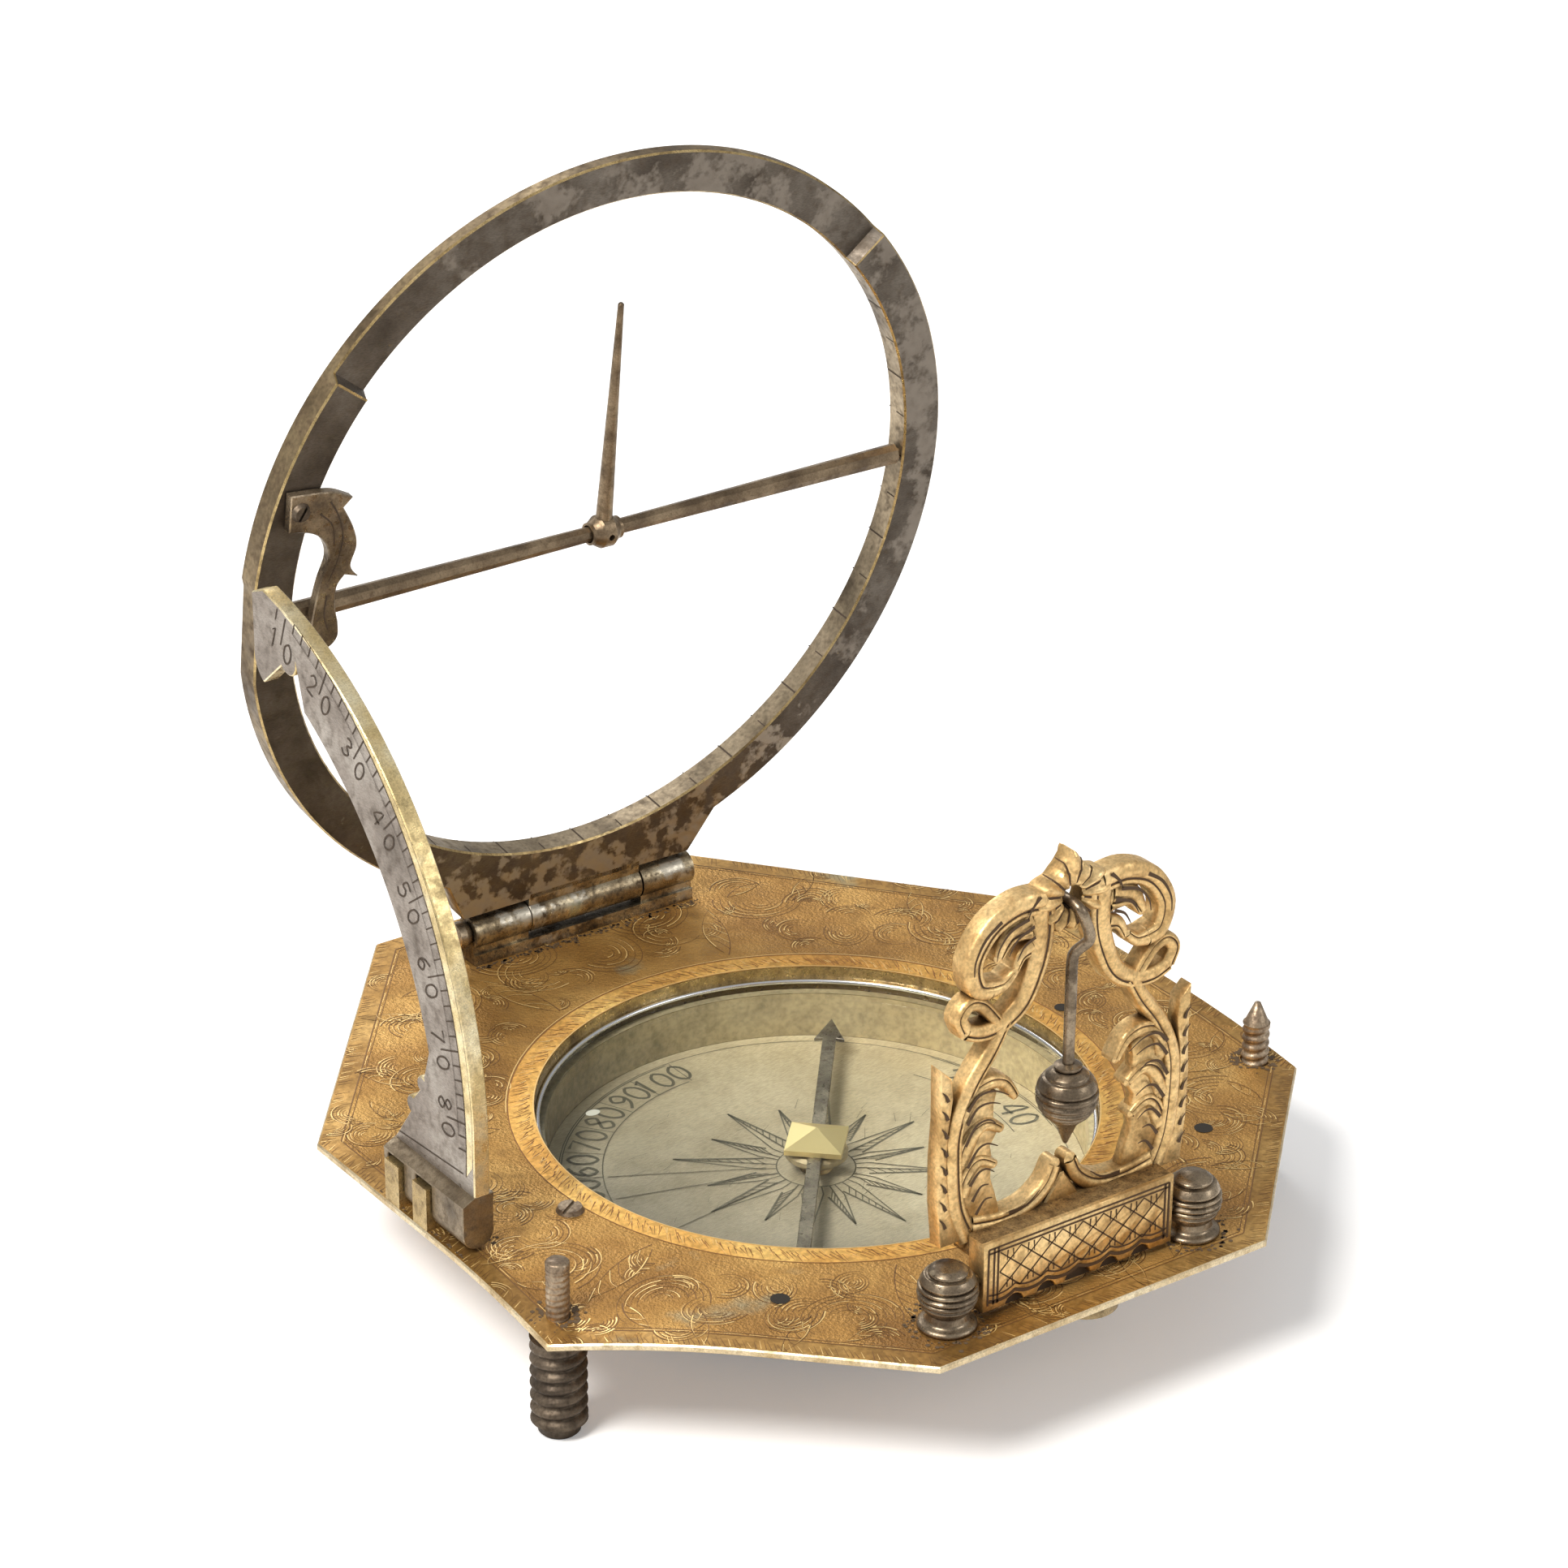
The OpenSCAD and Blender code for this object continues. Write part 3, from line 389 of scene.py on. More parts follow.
def by_ray(tree, ray, usual, special, out):
    """Gives one kind of ray a shader of its own."""
    both = add(tree, "ShaderNodeMixShader")
    path = add(tree, "ShaderNodeLightPath")
    for source, socket in zip((path.outputs[ray], usual, special), both.inputs):
        tree.links.new(source, socket)
    tree.links.new(both.outputs["Shader"], out.inputs["Surface"])


def worn_metal(name, light, base, dark, stain, patch_scale, roughness, metallic=0.85,
               streak=(1, 1, 1), grain=0.12, grain_scale=9000, stain_amount=0.5, verdigris=0.0):
    """Old metal: broad tone changes, small stains, a fine grain and uneven polish."""
    m, tree, shader = material(name)
    color = ramp(tree, texture(tree, patch_scale, 6), [(0.30, dark), (0.47, base), (0.70, light)])
    spots = texture(tree, patch_scale * 5.5, 8)
    color = mix(tree, greys(tree, spots, (0.50, 0), (0.72, stain_amount)), color, stain)
    fine = texture(tree, grain_scale, 4, streak)
    color = mix(tree, 0.7, color, greys(tree, fine, (0.35, 0.72), (0.62, 1.15)), "MULTIPLY")
    if verdigris:
        mask = greys(tree, texture(tree, 260, 7), (0.66, 0), (0.74, verdigris))
        color = mix(tree, mask, color, (0.30, 0.38, 0.31))
    tree.links.new(color, shader.inputs["Base Color"])
    shader.inputs["Metallic"].default_value = metallic
    rough = greys(tree, spots, (0.35, roughness - 0.08), (0.7, roughness + 0.22))
    tree.links.new(rough, shader.inputs["Roughness"])
    bump(tree, shader, [(fine, grain, 0.05), (spots, 0.10, 0.15)])
    return m


def gilt_metal(name, tones, relief_scale, relief_depth, pits=False):
    """Gilt plate: a field pitted by a matting punch, or smooth metal with a fine noisy relief."""
    m, tree, shader = material(name)
    color = ramp(tree, texture(tree, 120, 7), list(zip((0.30, 0.48, 0.68), tones)))
    if pits:
        relief = texture(tree, relief_scale, 3, kind="ShaderNodeTexVoronoi", output="Distance")
        shade = [(0.08, (0.52, 0.46, 0.38)), (0.40, (0.95, 0.95, 0.95)), (0.72, (1.35, 1.32, 1.22))]
    else:
        relief = texture(tree, relief_scale, 5)
        shade = [(0.38, (0.72, 0.68, 0.60)), (0.62, (1.2, 1.18, 1.1))]
    # The colour follows the relief: painted shade where it is low and painted highlight where it is high
    color = mix(tree, 0.75 if pits else 0.7, color, ramp(tree, relief, shade), "MULTIPLY")
    grime = texture(tree, 460, 9)
    color = mix(tree, greys(tree, grime, (0.54, 0), (0.78, 0.55)), color, (0.20, 0.12, 0.05))
    green = greys(tree, texture(tree, 170, 8), (0.655, 0), (0.74, 0.55))
    tree.links.new(mix(tree, green, color, (0.33, 0.36, 0.26)), shader.inputs["Base Color"])
    shader.inputs["Metallic"].default_value = 0.80
    tree.links.new(greys(tree, grime, (0.35, 0.36), (0.7, 0.60)), shader.inputs["Roughness"])
    bump(tree, shader, [(relief, relief_depth, 0.05), (grime, 0.18, 0.1)])
    return m


def overlaid(m, factor, paint, blend="MIX"):
    """Lays one more colour over a finished material."""
    socket = m.node_tree.nodes["Principled BSDF"].inputs["Base Color"]
    m.node_tree.links.new(mix(m.node_tree, factor, socket.links[0].from_socket, paint, blend), socket)


def towards(tree, direction):
    """Value that grows along a direction in object space."""
    coords = add(tree, "ShaderNodeTexCoord")
    node = add(tree, "ShaderNodeVectorMath", operation="DOT_PRODUCT")
    node.inputs[1].default_value = direction
    tree.links.new(coords.outputs["Object"], node.inputs[0])
    return node.outputs["Value"]


def toned_by_place(m, direction, reach, low, high):
    """Painted light and shade: colour factors that darken one side of the piece and lighten the other; reach
    in millimetres.
    """
    tree = m.node_tree
    place = arithmetic(tree, "ADD", towards(tree, tuple(d / (2 * reach * MM) for d in direction)), 0.5)
    overlaid(m, 1.0, ramp(tree, place, [(0.0, low), (1.0, high)]), "MULTIPLY")


SPECKLE = 0.22


def patched(m, patch_color, scale, threshold, direction=(0, 0, 0)):
    """Patches of another colour with speckled edges, more of them towards one side of the piece."""
    tree = m.node_tree
    total = arithmetic(tree, "ADD", texture(tree, scale, 9), towards(tree, direction))
    total = arithmetic(tree, "MULTIPLY_ADD", texture(tree, 2600, 4), SPECKLE, total)
    low = threshold + 0.5 * SPECKLE
    overlaid(m, greys(tree, total, (low - 0.03, 0), (low + 0.04, 0.85)), patch_color)


def grimy(m, reach, shade_color):
    """Painted shade in the corners and grooves of a finished material, darkest where the least open sky is
    seen.
    """
    sky = add(m.node_tree, "ShaderNodeAmbientOcclusion", samples=6, Distance=reach * MM)
    overlaid(m, greys(m.node_tree, sky.outputs["AO"], (0.30, 0.85), (0.80, 0)), shade_color)


def plain(name, color, metallic, roughness):
    m, _, shader = material(name)
    for key, value in (("Base Color", (*color, 1)), ("Metallic", metallic), ("Roughness", roughness)):
        shader.inputs[key].default_value = value
    return m


def clear_glass():
    """Thin old glass that lets light through to the card."""
    m, tree, shader = material("glass")
    for key, value in (("Base Color", (0.93, 0.95, 0.90, 1)), ("Roughness", 0.03), ("IOR", 1.12),
                       ("Transmission Weight", 1.0)):
        shader.inputs[key].default_value = value
    clear = add(tree, "ShaderNodeBsdfTransparent").outputs["BSDF"]
    by_ray(tree, "Is Shadow Ray", shader.outputs["BSDF"], clear, tree.nodes["Material Output"])
    return m


GROUND = gilt_metal(
    "punched gilt", ((0.23, 0.115, 0.032), (0.39, 0.215, 0.062), (0.58, 0.36, 0.12)), 4200, 0.8, pits=True)
RIM_GILT = gilt_metal(
    "smooth gilt", ((0.31, 0.17, 0.05), (0.45, 0.26, 0.078), (0.62, 0.40, 0.145)), 2600, 0.25)
RING_GILT = gilt_metal(
    "reddish gilt round the compass", ((0.52, 0.25, 0.058), (0.80, 0.45, 0.115), (0.95, 0.64, 0.21)),
    3200, 0.3)

# Each metal gives its light, middle, dark and stain colours, the scale of its patches and its roughness.
EDGE = worn_metal(
    "worn plate edge", (0.85, 0.74, 0.52), (0.72, 0.58, 0.36), (0.5, 0.36, 0.18), (0.3, 0.2, 0.1), 300, 0.36)
CARVED = worn_metal(
    "carved gilt", (0.92, 0.66, 0.32), (0.80, 0.54, 0.235), (0.50, 0.31, 0.12), (0.31, 0.18, 0.07),
    300, 0.40, grain=0.25, grain_scale=5200, stain_amount=0.55)
LEDGE = worn_metal(
    "rough ledge", (0.50, 0.33, 0.14), (0.33, 0.21, 0.09), (0.14, 0.085, 0.035), (0.06, 0.04, 0.02),
    1400, 0.55, grain=0.6, grain_scale=6500, stain_amount=0.8)
BRASS = worn_metal(
    "aged brass", (0.56, 0.44, 0.25), (0.38, 0.285, 0.15), (0.20, 0.145, 0.075), (0.11, 0.078, 0.045),
    320, 0.32, grain=0.14)
DARK = worn_metal(
    "dark turned brass", (0.42, 0.33, 0.225), (0.225, 0.172, 0.115), (0.10, 0.074, 0.05),
    (0.06, 0.042, 0.026), 420, 0.30, grain=0.15)
FOOT_METAL = worn_metal(
    "dirty screw brass", (0.2, 0.155, 0.11), (0.115, 0.088, 0.063), (0.055, 0.041, 0.03),
    (0.05, 0.035, 0.022), 420, 0.52, grain=0.25, grain_scale=6000)
BAR_BRASS = worn_metal(
    "brown brass", (0.36, 0.27, 0.17), (0.225, 0.163, 0.10), (0.12, 0.085, 0.054), (0.09, 0.06, 0.035),
    420, 0.36, grain=0.14)
KNUCKLE = worn_metal(
    "knuckle brass", (0.52, 0.44, 0.30), (0.26, 0.20, 0.12), (0.085, 0.062, 0.038), (0.04, 0.028, 0.018),
    520, 0.32, grain=0.2, stain_amount=0.8, verdigris=0.5)
WORN_THREAD = worn_metal(
    "worn threads", (0.50, 0.40, 0.28), (0.33, 0.25, 0.17), (0.18, 0.13, 0.09), (0.09, 0.06, 0.04),
    700, 0.42, grain=0.3, grain_scale=6000)
SILVERED = worn_metal(
    "worn silvering", (0.17, 0.145, 0.118), (0.115, 0.094, 0.073), (0.066, 0.051, 0.038), (0.11, 0.08, 0.055),
    260, 0.38, grain=0.2, grain_scale=4200, streak=(1, 1, 6))
RING_WALL = worn_metal(
    "ring wall", (0.36, 0.27, 0.15), (0.21, 0.152, 0.085), (0.105, 0.075, 0.045), (0.07, 0.045, 0.03),
    230, 0.40, grain=0.22, grain_scale=3800, stain_amount=0.7)
INNER_WALL = worn_metal(
    "ring inner wall", (0.50, 0.40, 0.27), (0.34, 0.268, 0.175), (0.15, 0.115, 0.075), (0.08, 0.06, 0.04),
    300, 0.36, grain=0.22, grain_scale=3800, stain_amount=0.6)
EDGE_BRASS = worn_metal(
    "worn brass edge", (0.62, 0.47, 0.23), (0.46, 0.33, 0.145), (0.22, 0.15, 0.07), (0.10, 0.07, 0.04),
    420, 0.30, grain=0.14, stain_amount=0.6)
ARC_SILVER = worn_metal(
    "silvered arc", (0.41, 0.365, 0.315), (0.295, 0.25, 0.21), (0.18, 0.148, 0.118), (0.10, 0.075, 0.055),
    260, 0.34, grain=0.16, grain_scale=4200, streak=(1, 1, 4), stain_amount=0.45)
ARC_EDGE = worn_metal(
    "brass edge of the arc", (0.98, 0.88, 0.60), (0.76, 0.60, 0.30), (0.44, 0.33, 0.15), (0.18, 0.12, 0.06),
    300, 0.30, grain=0.14, stain_amount=0.4)
ARC_FOOT = worn_metal(
    "arc foot", (0.36, 0.29, 0.20), (0.24, 0.185, 0.12), (0.13, 0.10, 0.065), (0.07, 0.05, 0.035),
    380, 0.36, grain=0.18)
CARD = worn_metal(
    "silvered card", (0.43, 0.385, 0.285), (0.33, 0.29, 0.21), (0.255, 0.22, 0.15), (0.17, 0.14, 0.085),
    60, 0.50, metallic=0.35, grain=0.05, grain_scale=2500, streak=(1, 6, 1), stain_amount=0.25)
CARD_WALL = worn_metal(
    "silvered wall", (0.42, 0.36, 0.225), (0.31, 0.255, 0.15), (0.22, 0.175, 0.10), (0.14, 0.11, 0.06),
    90, 0.46, metallic=0.35, grain=0.05, grain_scale=2500, stain_amount=0.3)
BLUED = worn_metal(
    "browned steel", (0.28, 0.245, 0.19), (0.165, 0.142, 0.108), (0.07, 0.06, 0.05), (0.05, 0.035, 0.025),
    500, 0.35)

# Painted light and shade: the card darker towards the south-west and lighter towards the north-east, its wall
# darker towards the west and lighter towards the east
toned_by_place(CARD, (0.8, 0.6, 0), 17.0, (0.43, 0.43, 0.46), (1.5, 1.42, 1.28))
toned_by_place(CARD_WALL, (0.9, -0.4, 0), 18.0, (0.62, 0.62, 0.66), (1.25, 1.2, 1.15))
patched(SILVERED, (0.24, 0.204, 0.165), 230, 0.81, direction=(7.0, 0, 4.0))
patched(SILVERED, (0.44, 0.40, 0.34), 560, 0.135, direction=(0, 0, -25.0))
patched(RING_WALL, (0.30, 0.265, 0.22), 260, 0.56, direction=(0, 0, -6.0))
patched(KNUCKLE, (0.50, 0.46, 0.38), 420, 0.60)
patched(DARK, (0.36, 0.29, 0.20), 620, 0.63)
# Painted shade in the hollows of the carved gilt, the screws, the knuckles and the turned and plain brass
grimy(CARVED, 0.9, (0.10, 0.055, 0.02))
grimy(FOOT_METAL, 0.5, (0.02, 0.014, 0.01))
grimy(KNUCKLE, 0.5, (0.03, 0.02, 0.012))
grimy(DARK, 0.5, (0.03, 0.02, 0.012))
grimy(BRASS, 0.7, (0.07, 0.045, 0.02))

STEEL = plain("bright wire", (0.75, 0.76, 0.78), 1.0, 0.25)
CAP = plain("needle cap", (0.78, 0.64, 0.33), 0.9, 0.32)
INK = plain("dark cut", (0.055, 0.035, 0.02), 0.0, 0.75)
GROOVE = plain("groove in carved gilt", (0.085, 0.045, 0.018), 0.2, 0.7)
BROWN_CUT = plain("brown cut in gilt", (0.20, 0.10, 0.032), 0.5, 0.5)
RED_CUT = plain("reddish cut in gilt", (0.27, 0.115, 0.03), 0.35, 0.5)
CARD_INK = plain("card cut", (0.085, 0.075, 0.05), 0.0, 0.75)
# Painted glint: light gold strokes beside the cuts, standing for light caught on their edges
PAINTED_GLINT = plain("painted glint", (0.90, 0.62, 0.24), 0.5, 0.30)
GRIME = plain("grime", (0.10, 0.062, 0.03), 0.0, 0.85)
BUBBLE = plain("bubble", (0.62, 0.62, 0.50), 0.0, 0.5)
# Painted shade: dark discs stand for the insides of empty holes
HOLE_SHADE = plain("painted shade of a hole", (0.02, 0.015, 0.01), 0.0, 0.9)
GLASS = clear_glass()

for node, look in {
    "compass_box": BRASS, "needle_pivot": BRASS, "hinge_rivets": BRASS, "arc_hinge_lugs": EDGE_BRASS,
    "arc_hinge_pin": BRASS, "stand_pivot_pins": BRASS, "stand_spring": BRASS, "stand_spring_screw": DARK,
    "ring_hinge_leaf": KNUCKLE, "ring_hinge_pin": DARK, "gnomon_hub": BAR_BRASS, "box_screw": WORN_THREAD,
    "gnomon_spring_screw": FOOT_METAL, "gnomon_bar": BAR_BRASS,
}.items():
    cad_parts[node].data.materials.clear()
    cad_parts[node].data.materials.append(look)


# Plate
PLATE_SHARP = 25
# Heights of the drawn layers above the plate's face
BAND_LAYER, LEAF_LAYER, CUT_LAYER = 0.006, 0.010, 0.018
GLINT_LAYER, GRIME_LAYER, HOLE_LAYER = 0.022, 0.026, 0.030


def octagon(inset=0.0):
    """Outline of the plate, moved in by a margin."""
    east = [(SOUTH_HALF, -PLATE_S), (PLATE_HALF_W, -SIDE_SOUTH), (PLATE_HALF_W, SIDE_NORTH),
            (NORTH_HALF, PLATE_N)]
    corners = np.array(east[2:] + mirrored(east[::-1], -1) + east[:2])
    out = []
    for i in range(8):
        a, b, c = corners[i - 1], corners[i], corners[(i + 1) % 8]
        d1, d2 = (b - a) / np.linalg.norm(b - a), (c - b) / np.linalg.norm(c - b)
        n1, n2 = np.array([-d1[1], d1[0]]), np.array([-d2[1], d2[0]])
        m = (n1 + n2) / np.linalg.norm(n1 + n2)
        out.append(b + m * inset / np.dot(m, n1))
    return np.array(out)


def sides(outline):
    return list(zip(outline, np.roll(outline, -1, axis=0)))


def cross(a, b):
    return a[0] * b[1] - a[1] * b[0]


def cast(outline, d):
    """Where a ray from the compass centre leaves an outline."""
    hits = [cross(a, b - a) / cross(d, b - a) for a, b in sides(outline) if abs(cross(d, b - a)) > 1e-9]
    return d * min(t for t in hits if t > 0)


def plate_solid():
    """Rows of points from the hole out to the bevelled edge and back, and the faces of that edge."""
    rays, margin, bevel = 256, 0.12, 0.1
    corners = [math.degrees(math.atan2(c[1], c[0])) % 360 for c in octagon()]
    angles = sorted([360 * k / rays for k in range(rays)] + corners)
    outer = [cast(octagon(), polar(1, a)) for a in angles]
    inner = np.array([cast(octagon(margin), polar(1, a)) for a in angles])
    hole = np.array([polar(COMPASS_R, a) for a in angles])
    steps = [0, 0.12, 0.24, 0.36, 0.48, 0.6, 0.7, 0.8, 0.88, 0.95, 1.0]
    rows = [(between(hole, inner, t), 0.0) for t in steps]
    rows += [(outer, -bevel), (outer, -PLATE_T + bevel)]
    rows += [(between(hole, inner, t), -PLATE_T) for t in reversed(steps)]
    first = (len(steps) - 1) * len(angles)
    return (skin([[(*p, z) for p in row] for row, z in rows], capped=False, looped=True, flipped=True),
            range(first, first + 3 * len(angles)))


def bore(ob, x, y, r):
    """Cuts an upright round hole through the plate."""
    cutter = placed("bore", *moved(lathe([(r, -3.0), (r, 3.0)]), x, y))
    cut = ob.modifiers.new("bore", "BOOLEAN")
    cut.operation, cut.solver, cut.object = "DIFFERENCE", "EXACT", cutter
    bpy.context.view_layer.update()
    ob.data = bpy.data.meshes.new_from_object(ob.evaluated_get(bpy.context.evaluated_depsgraph_get()))
    ob.data.set_sharp_from_angle(angle=math.radians(PLATE_SHARP))
    ob.modifiers.remove(cut)
    bpy.data.objects.remove(cutter)


solid, edge_faces = plate_solid()
plate = mesh("plate", solid, GROUND, "base", where=on_metal, replaces=["base_plate"], sharp=PLATE_SHARP)
plate.data.materials.append(EDGE)
for i in edge_faces:
    plate.data.polygons[i].material_index = 1
for x, y, r in STUDS:
    bore(plate, x, y, r + RUN_FIT)


def on_plate(name, drawing, look, layer):
    draw(name, drawing, look, "base", where=on_metal, lift=layer)


# Smooth band inside the border, and the reddish band round the compass
border, compass_band = Drawing(), Drawing()
BORDER_PARTS = 12
for (a, b), (c, d) in zip(sides(octagon(0.1)), sides(octagon(1.5))):
    for k in range(BORDER_PARTS):
        t, u = k / BORDER_PARTS, (k + 1) / BORDER_PARTS
        border.patch([between(a, b, t), between(a, b, u), between(c, d, u), between(c, d, t)])
compass_band.annulus(COMPASS_R + 0.02, BAND_R)
on_plate("plate_border", border, RIM_GILT, BAND_LAYER)
on_plate("compass_band", compass_band, RING_GILT, BAND_LAYER)

# Border line with hatched rim; short strokes along the border and some of the hatches are painted glints
dark_lines, red_lines, glint_lines, leaf_grounds = Drawing(), Drawing(), Drawing(), Drawing()
for inset, width in ((1.45, 0.08), (1.72, 0.05)):
    for a, b in sides(octagon(inset)):
        dark_lines.stroke(np.linspace(a, b, 20), width)
GLINTS = 14
for a, b in sides(octagon(1.58)):
    for k in range(GLINTS):
        if rng.random() < 0.6:
            t = (k + rng.random() * 0.5) / GLINTS
            glint_lines.stroke(np.linspace(between(a, b, t), between(a, b, t + 0.05), 3), 0.05, 0.03)
HATCH_INSET, HATCH_PITCH = 0.22, 0.30
for a, b in sides(octagon(HATCH_INSET)):
    length = np.linalg.norm(b - a)
    along = (b - a) / length
    inward = np.array([-along[1], along[0]])
    count = int(length / HATCH_PITCH)
    for k in range(count):
        if rng.random() < 0.75:
            kind = glint_lines if rng.random() < 0.25 else dark_lines
            p = a + along * length * (k + 0.5) / count
            lean = 0.35 + rng.uniform(-0.12, 0.12)
            end = p + inward * rng.uniform(0.5, 0.95) - along * lean
            kind.stroke([p, end], rng.uniform(0.035, 0.075), 0.02)

# Hatched band round the compass, with painted glints along its edges and on some of the hatches
red_lines.circle((0, 0), BAND_R, 0.07)
glint_lines.circle((0, 0), BAND_R + 0.12, 0.06, 20, 150)
glint_lines.circle((0, 0), COMPASS_R + 0.07, 0.07)
BAND_HATCHES = 620
for k in range(BAND_HATCHES):
    a = 360 * (k + rng.uniform(-0.4, 0.4)) / BAND_HATCHES
    r = rng.uniform(18.2, 18.9)
    kind = glint_lines if rng.random() < 0.25 else red_lines
    end = polar(min(BAND_R - 0.05, r + rng.uniform(0.35, 1.0)), a + rng.uniform(1.0, 2.0))
    kind.stroke([polar(r, a), end], rng.uniform(0.035, 0.09), 0.02)


def nest(centre, radius, start, sweep, cuts, squash=1.0, lean=0.0):
    """A scroll of nested cuts: each arc shorter and smaller than the one outside it, with painted glints
    beside some of them.
    """
    for k in range(cuts):
        r = radius * (1 - k / (cuts + 0.6))
        a0 = start + sweep * 0.10 * k / cuts + rng.uniform(-3, 3)
        a1 = start + sweep * (1 - 0.32 * k / cuts) + rng.uniform(-6, 6)
        drift = polar(0.10 * radius * k / cuts, start + sweep * 0.5)
        coil = [polar(r * (1 - 0.16 * t), between(a0, a1, t)) * (1, squash) for t in np.linspace(0, 1, 16)]
        path = np.array([centre + turned(q, lean) + drift for q in coil])
        dark_lines.stroke(path, 0.075 if k == 0 else 0.055, 0.02)
        side = normals2(path)
        for first in (rng.randrange(0, 4), rng.randrange(6, 9)):
            last = first + rng.randrange(4, 8)
            if rng.random() < 0.7:
                glint = (path + side * rng.uniform(0.06, 0.12))[first:last]
                glint_lines.stroke(glint, rng.uniform(0.06, 0.11), 0.02)


def plume(base, heading, length, bend, lobes):
    """A feathered leaf: a curved stem with short curved cuts down one side, and painted glints inside its
    edge and beside some cuts.
    """
    steps = 25
    t = np.linspace(0, 1, steps + 1)
    ang = (math.radians(heading) + math.radians(bend) * t)[:-1]
    walk = np.stack([np.cos(ang), np.sin(ang)], axis=1) * (length / steps)
    stem = base + np.concatenate([[[0, 0]], np.cumsum(walk, axis=0)])
    side = normals2(stem) * (1 if bend > 0 else -1)
    outline = stem + side * (length * 0.23 * np.sin(np.pi * np.clip(t * 1.06, 0, 1)) ** 0.7)[:, None]
    leaf_grounds.patch(list(stem) + list(outline[::-1][1:-1]))
    dark_lines.stroke(stem, 0.085, 0.03)
    dark_lines.stroke(outline[1:-1], 0.05, 0.02)
    glint_lines.stroke((outline - side * 0.07)[4:18], 0.09, 0.02)
    for k in range(1, lobes + 1):
        i = int((steps - 1) * k / (lobes + 1))
        j = min(steps, i + 5)
        mid = (stem[i] + outline[j]) / 2 + (stem[j] - stem[i]) * 0.25
        path = smooth([stem[i], mid, outline[j]], 4)
        dark_lines.stroke(path, 0.06, 0.02)
        if rng.random() < 0.6:
            glint_lines.stroke(path + side[i] * 0.03 + (stem[j] - stem[i]) * 0.06, 0.05, 0.02)


def bouquet(angle, r, size):
    """Engraving between the compass and one corner: scrolls on both sides of a plume."""
    def at(u, v):
        return polar(1, angle) * u + polar(1, angle + 90) * v
    plume(at(20.4, 0.2), angle - 22, size * 1.1, 42, 6)
    for s in (1, -1):
        nest(at(r, s * size * 0.62), size * 0.52, angle + s * 95 + 180 * (s < 0), 230, 6, squash=0.85,
             lean=0.3 * s)
        nest(at(r - 1.0, s * size * 1.12), size * 0.34, angle - s * 60 + 180 * (s > 0), -240, 5, squash=0.8,
             lean=-0.4 * s)
        plume(at(r - 0.6, s * size * 0.95), angle + s * 62, size * 0.72, -s * 55, 4)
        plume(at(r + 1.0, s * size * 0.3), angle + s * 30, size * 0.55, s * 70, 3)


for corner in octagon():
    far, angle = np.linalg.norm(corner), math.degrees(math.atan2(corner[1], corner[0]))
    bouquet(angle, between(20.2, far, 0.46), min(6.4, (far - 21.5) * 0.62))
for angle, size in ((180, 3.6), (0, 3.6), (90, 5.4), (270, 4.4),
                    (131, 3.3), (49, 3.3), (228, 2.9), (312, 2.9)):
    centre, aside = polar(20.6 + size * 0.75, angle), polar(size, angle + 90)
    nest(centre, size * 0.62, angle + 20, 260, 5, squash=0.8, lean=math.radians(angle))
    nest(centre + aside, size * 0.5, angle + 200, -220, 4)
    nest(centre - aside, size * 0.5, angle - 20, 230, 4)
# Loose small scrolls over what is left of the field
for k in range(150):
    angle, r = rng.uniform(0, 360), rng.uniform(20.6, 33)
    radius, start = rng.uniform(0.9, 2.0), rng.uniform(0, 360)
    nest(polar(r, angle), radius, start, rng.choice((-1, 1)) * rng.uniform(110, 200), 5)


def clipped(drawing, inset, r_min):
    """Keeps the pieces that lie whole on the plate's field."""
    edges = [(a, b - a) for a, b in sides(octagon(inset))]

    def inside(x, y, z):
        return math.hypot(x, y) >= r_min and all(cross(e, (x - a[0], y - a[1])) >= 0 for a, e in edges)

    drawing.faces = [face for face in drawing.faces if all(inside(*drawing.verts[i]) for i in face)]
    return drawing


on_plate("plate_leaves", clipped(leaf_grounds, 1.8, BAND_R + 0.1), GROUND, LEAF_LAYER)
on_plate("plate_cuts", clipped(dark_lines, 0.05, BAND_R - 0.02), BROWN_CUT, CUT_LAYER)
on_plate("band_cuts", clipped(red_lines, 0.05, COMPASS_R + 0.02), RED_CUT, CUT_LAYER)
# Painted glints on the engraving
on_plate("plate_painted_glints", clipped(glint_lines, 0.05, COMPASS_R + 0.02), PAINTED_GLINT, GLINT_LAYER)

# Grime round the pieces that stand on the plate
grime = Drawing()
POST_FOOT_R = 1.8
for x, y, r in STUDS[:2] + [(-POST_X, STAND_Y, POST_FOOT_R), (POST_X, STAND_Y, POST_FOOT_R)] + STUDS[2:]:
    for k in range(90):
        a = rng.uniform(0, 360)
        away = abs(rng.gauss(0, 0.35))
        size = rng.uniform(0.05, 0.17)
        grime.dot(np.array([x, y]) + polar(r + RUN_FIT + size + away, a), size)
for k in range(240):
    x, y = rng.uniform(-8.5, 9.5), HINGE_Y - 1.1 - abs(rng.gauss(0, 0.35))
    grime.dot(np.array([x, y]), rng.uniform(0.04, 0.14))
for k in range(160):
    x = ARC_HINGE_X + rng.choice((-1, 1)) * (ARC_FOOT_R + abs(rng.gauss(0, 0.3)))
    grime.dot(np.array([x, rng.uniform(-3.6, 6.2)]), rng.uniform(0.04, 0.15))
on_plate("plate_grime", clipped(grime, 0.2, COMPASS_R + 0.1), GRIME, GRIME_LAYER)

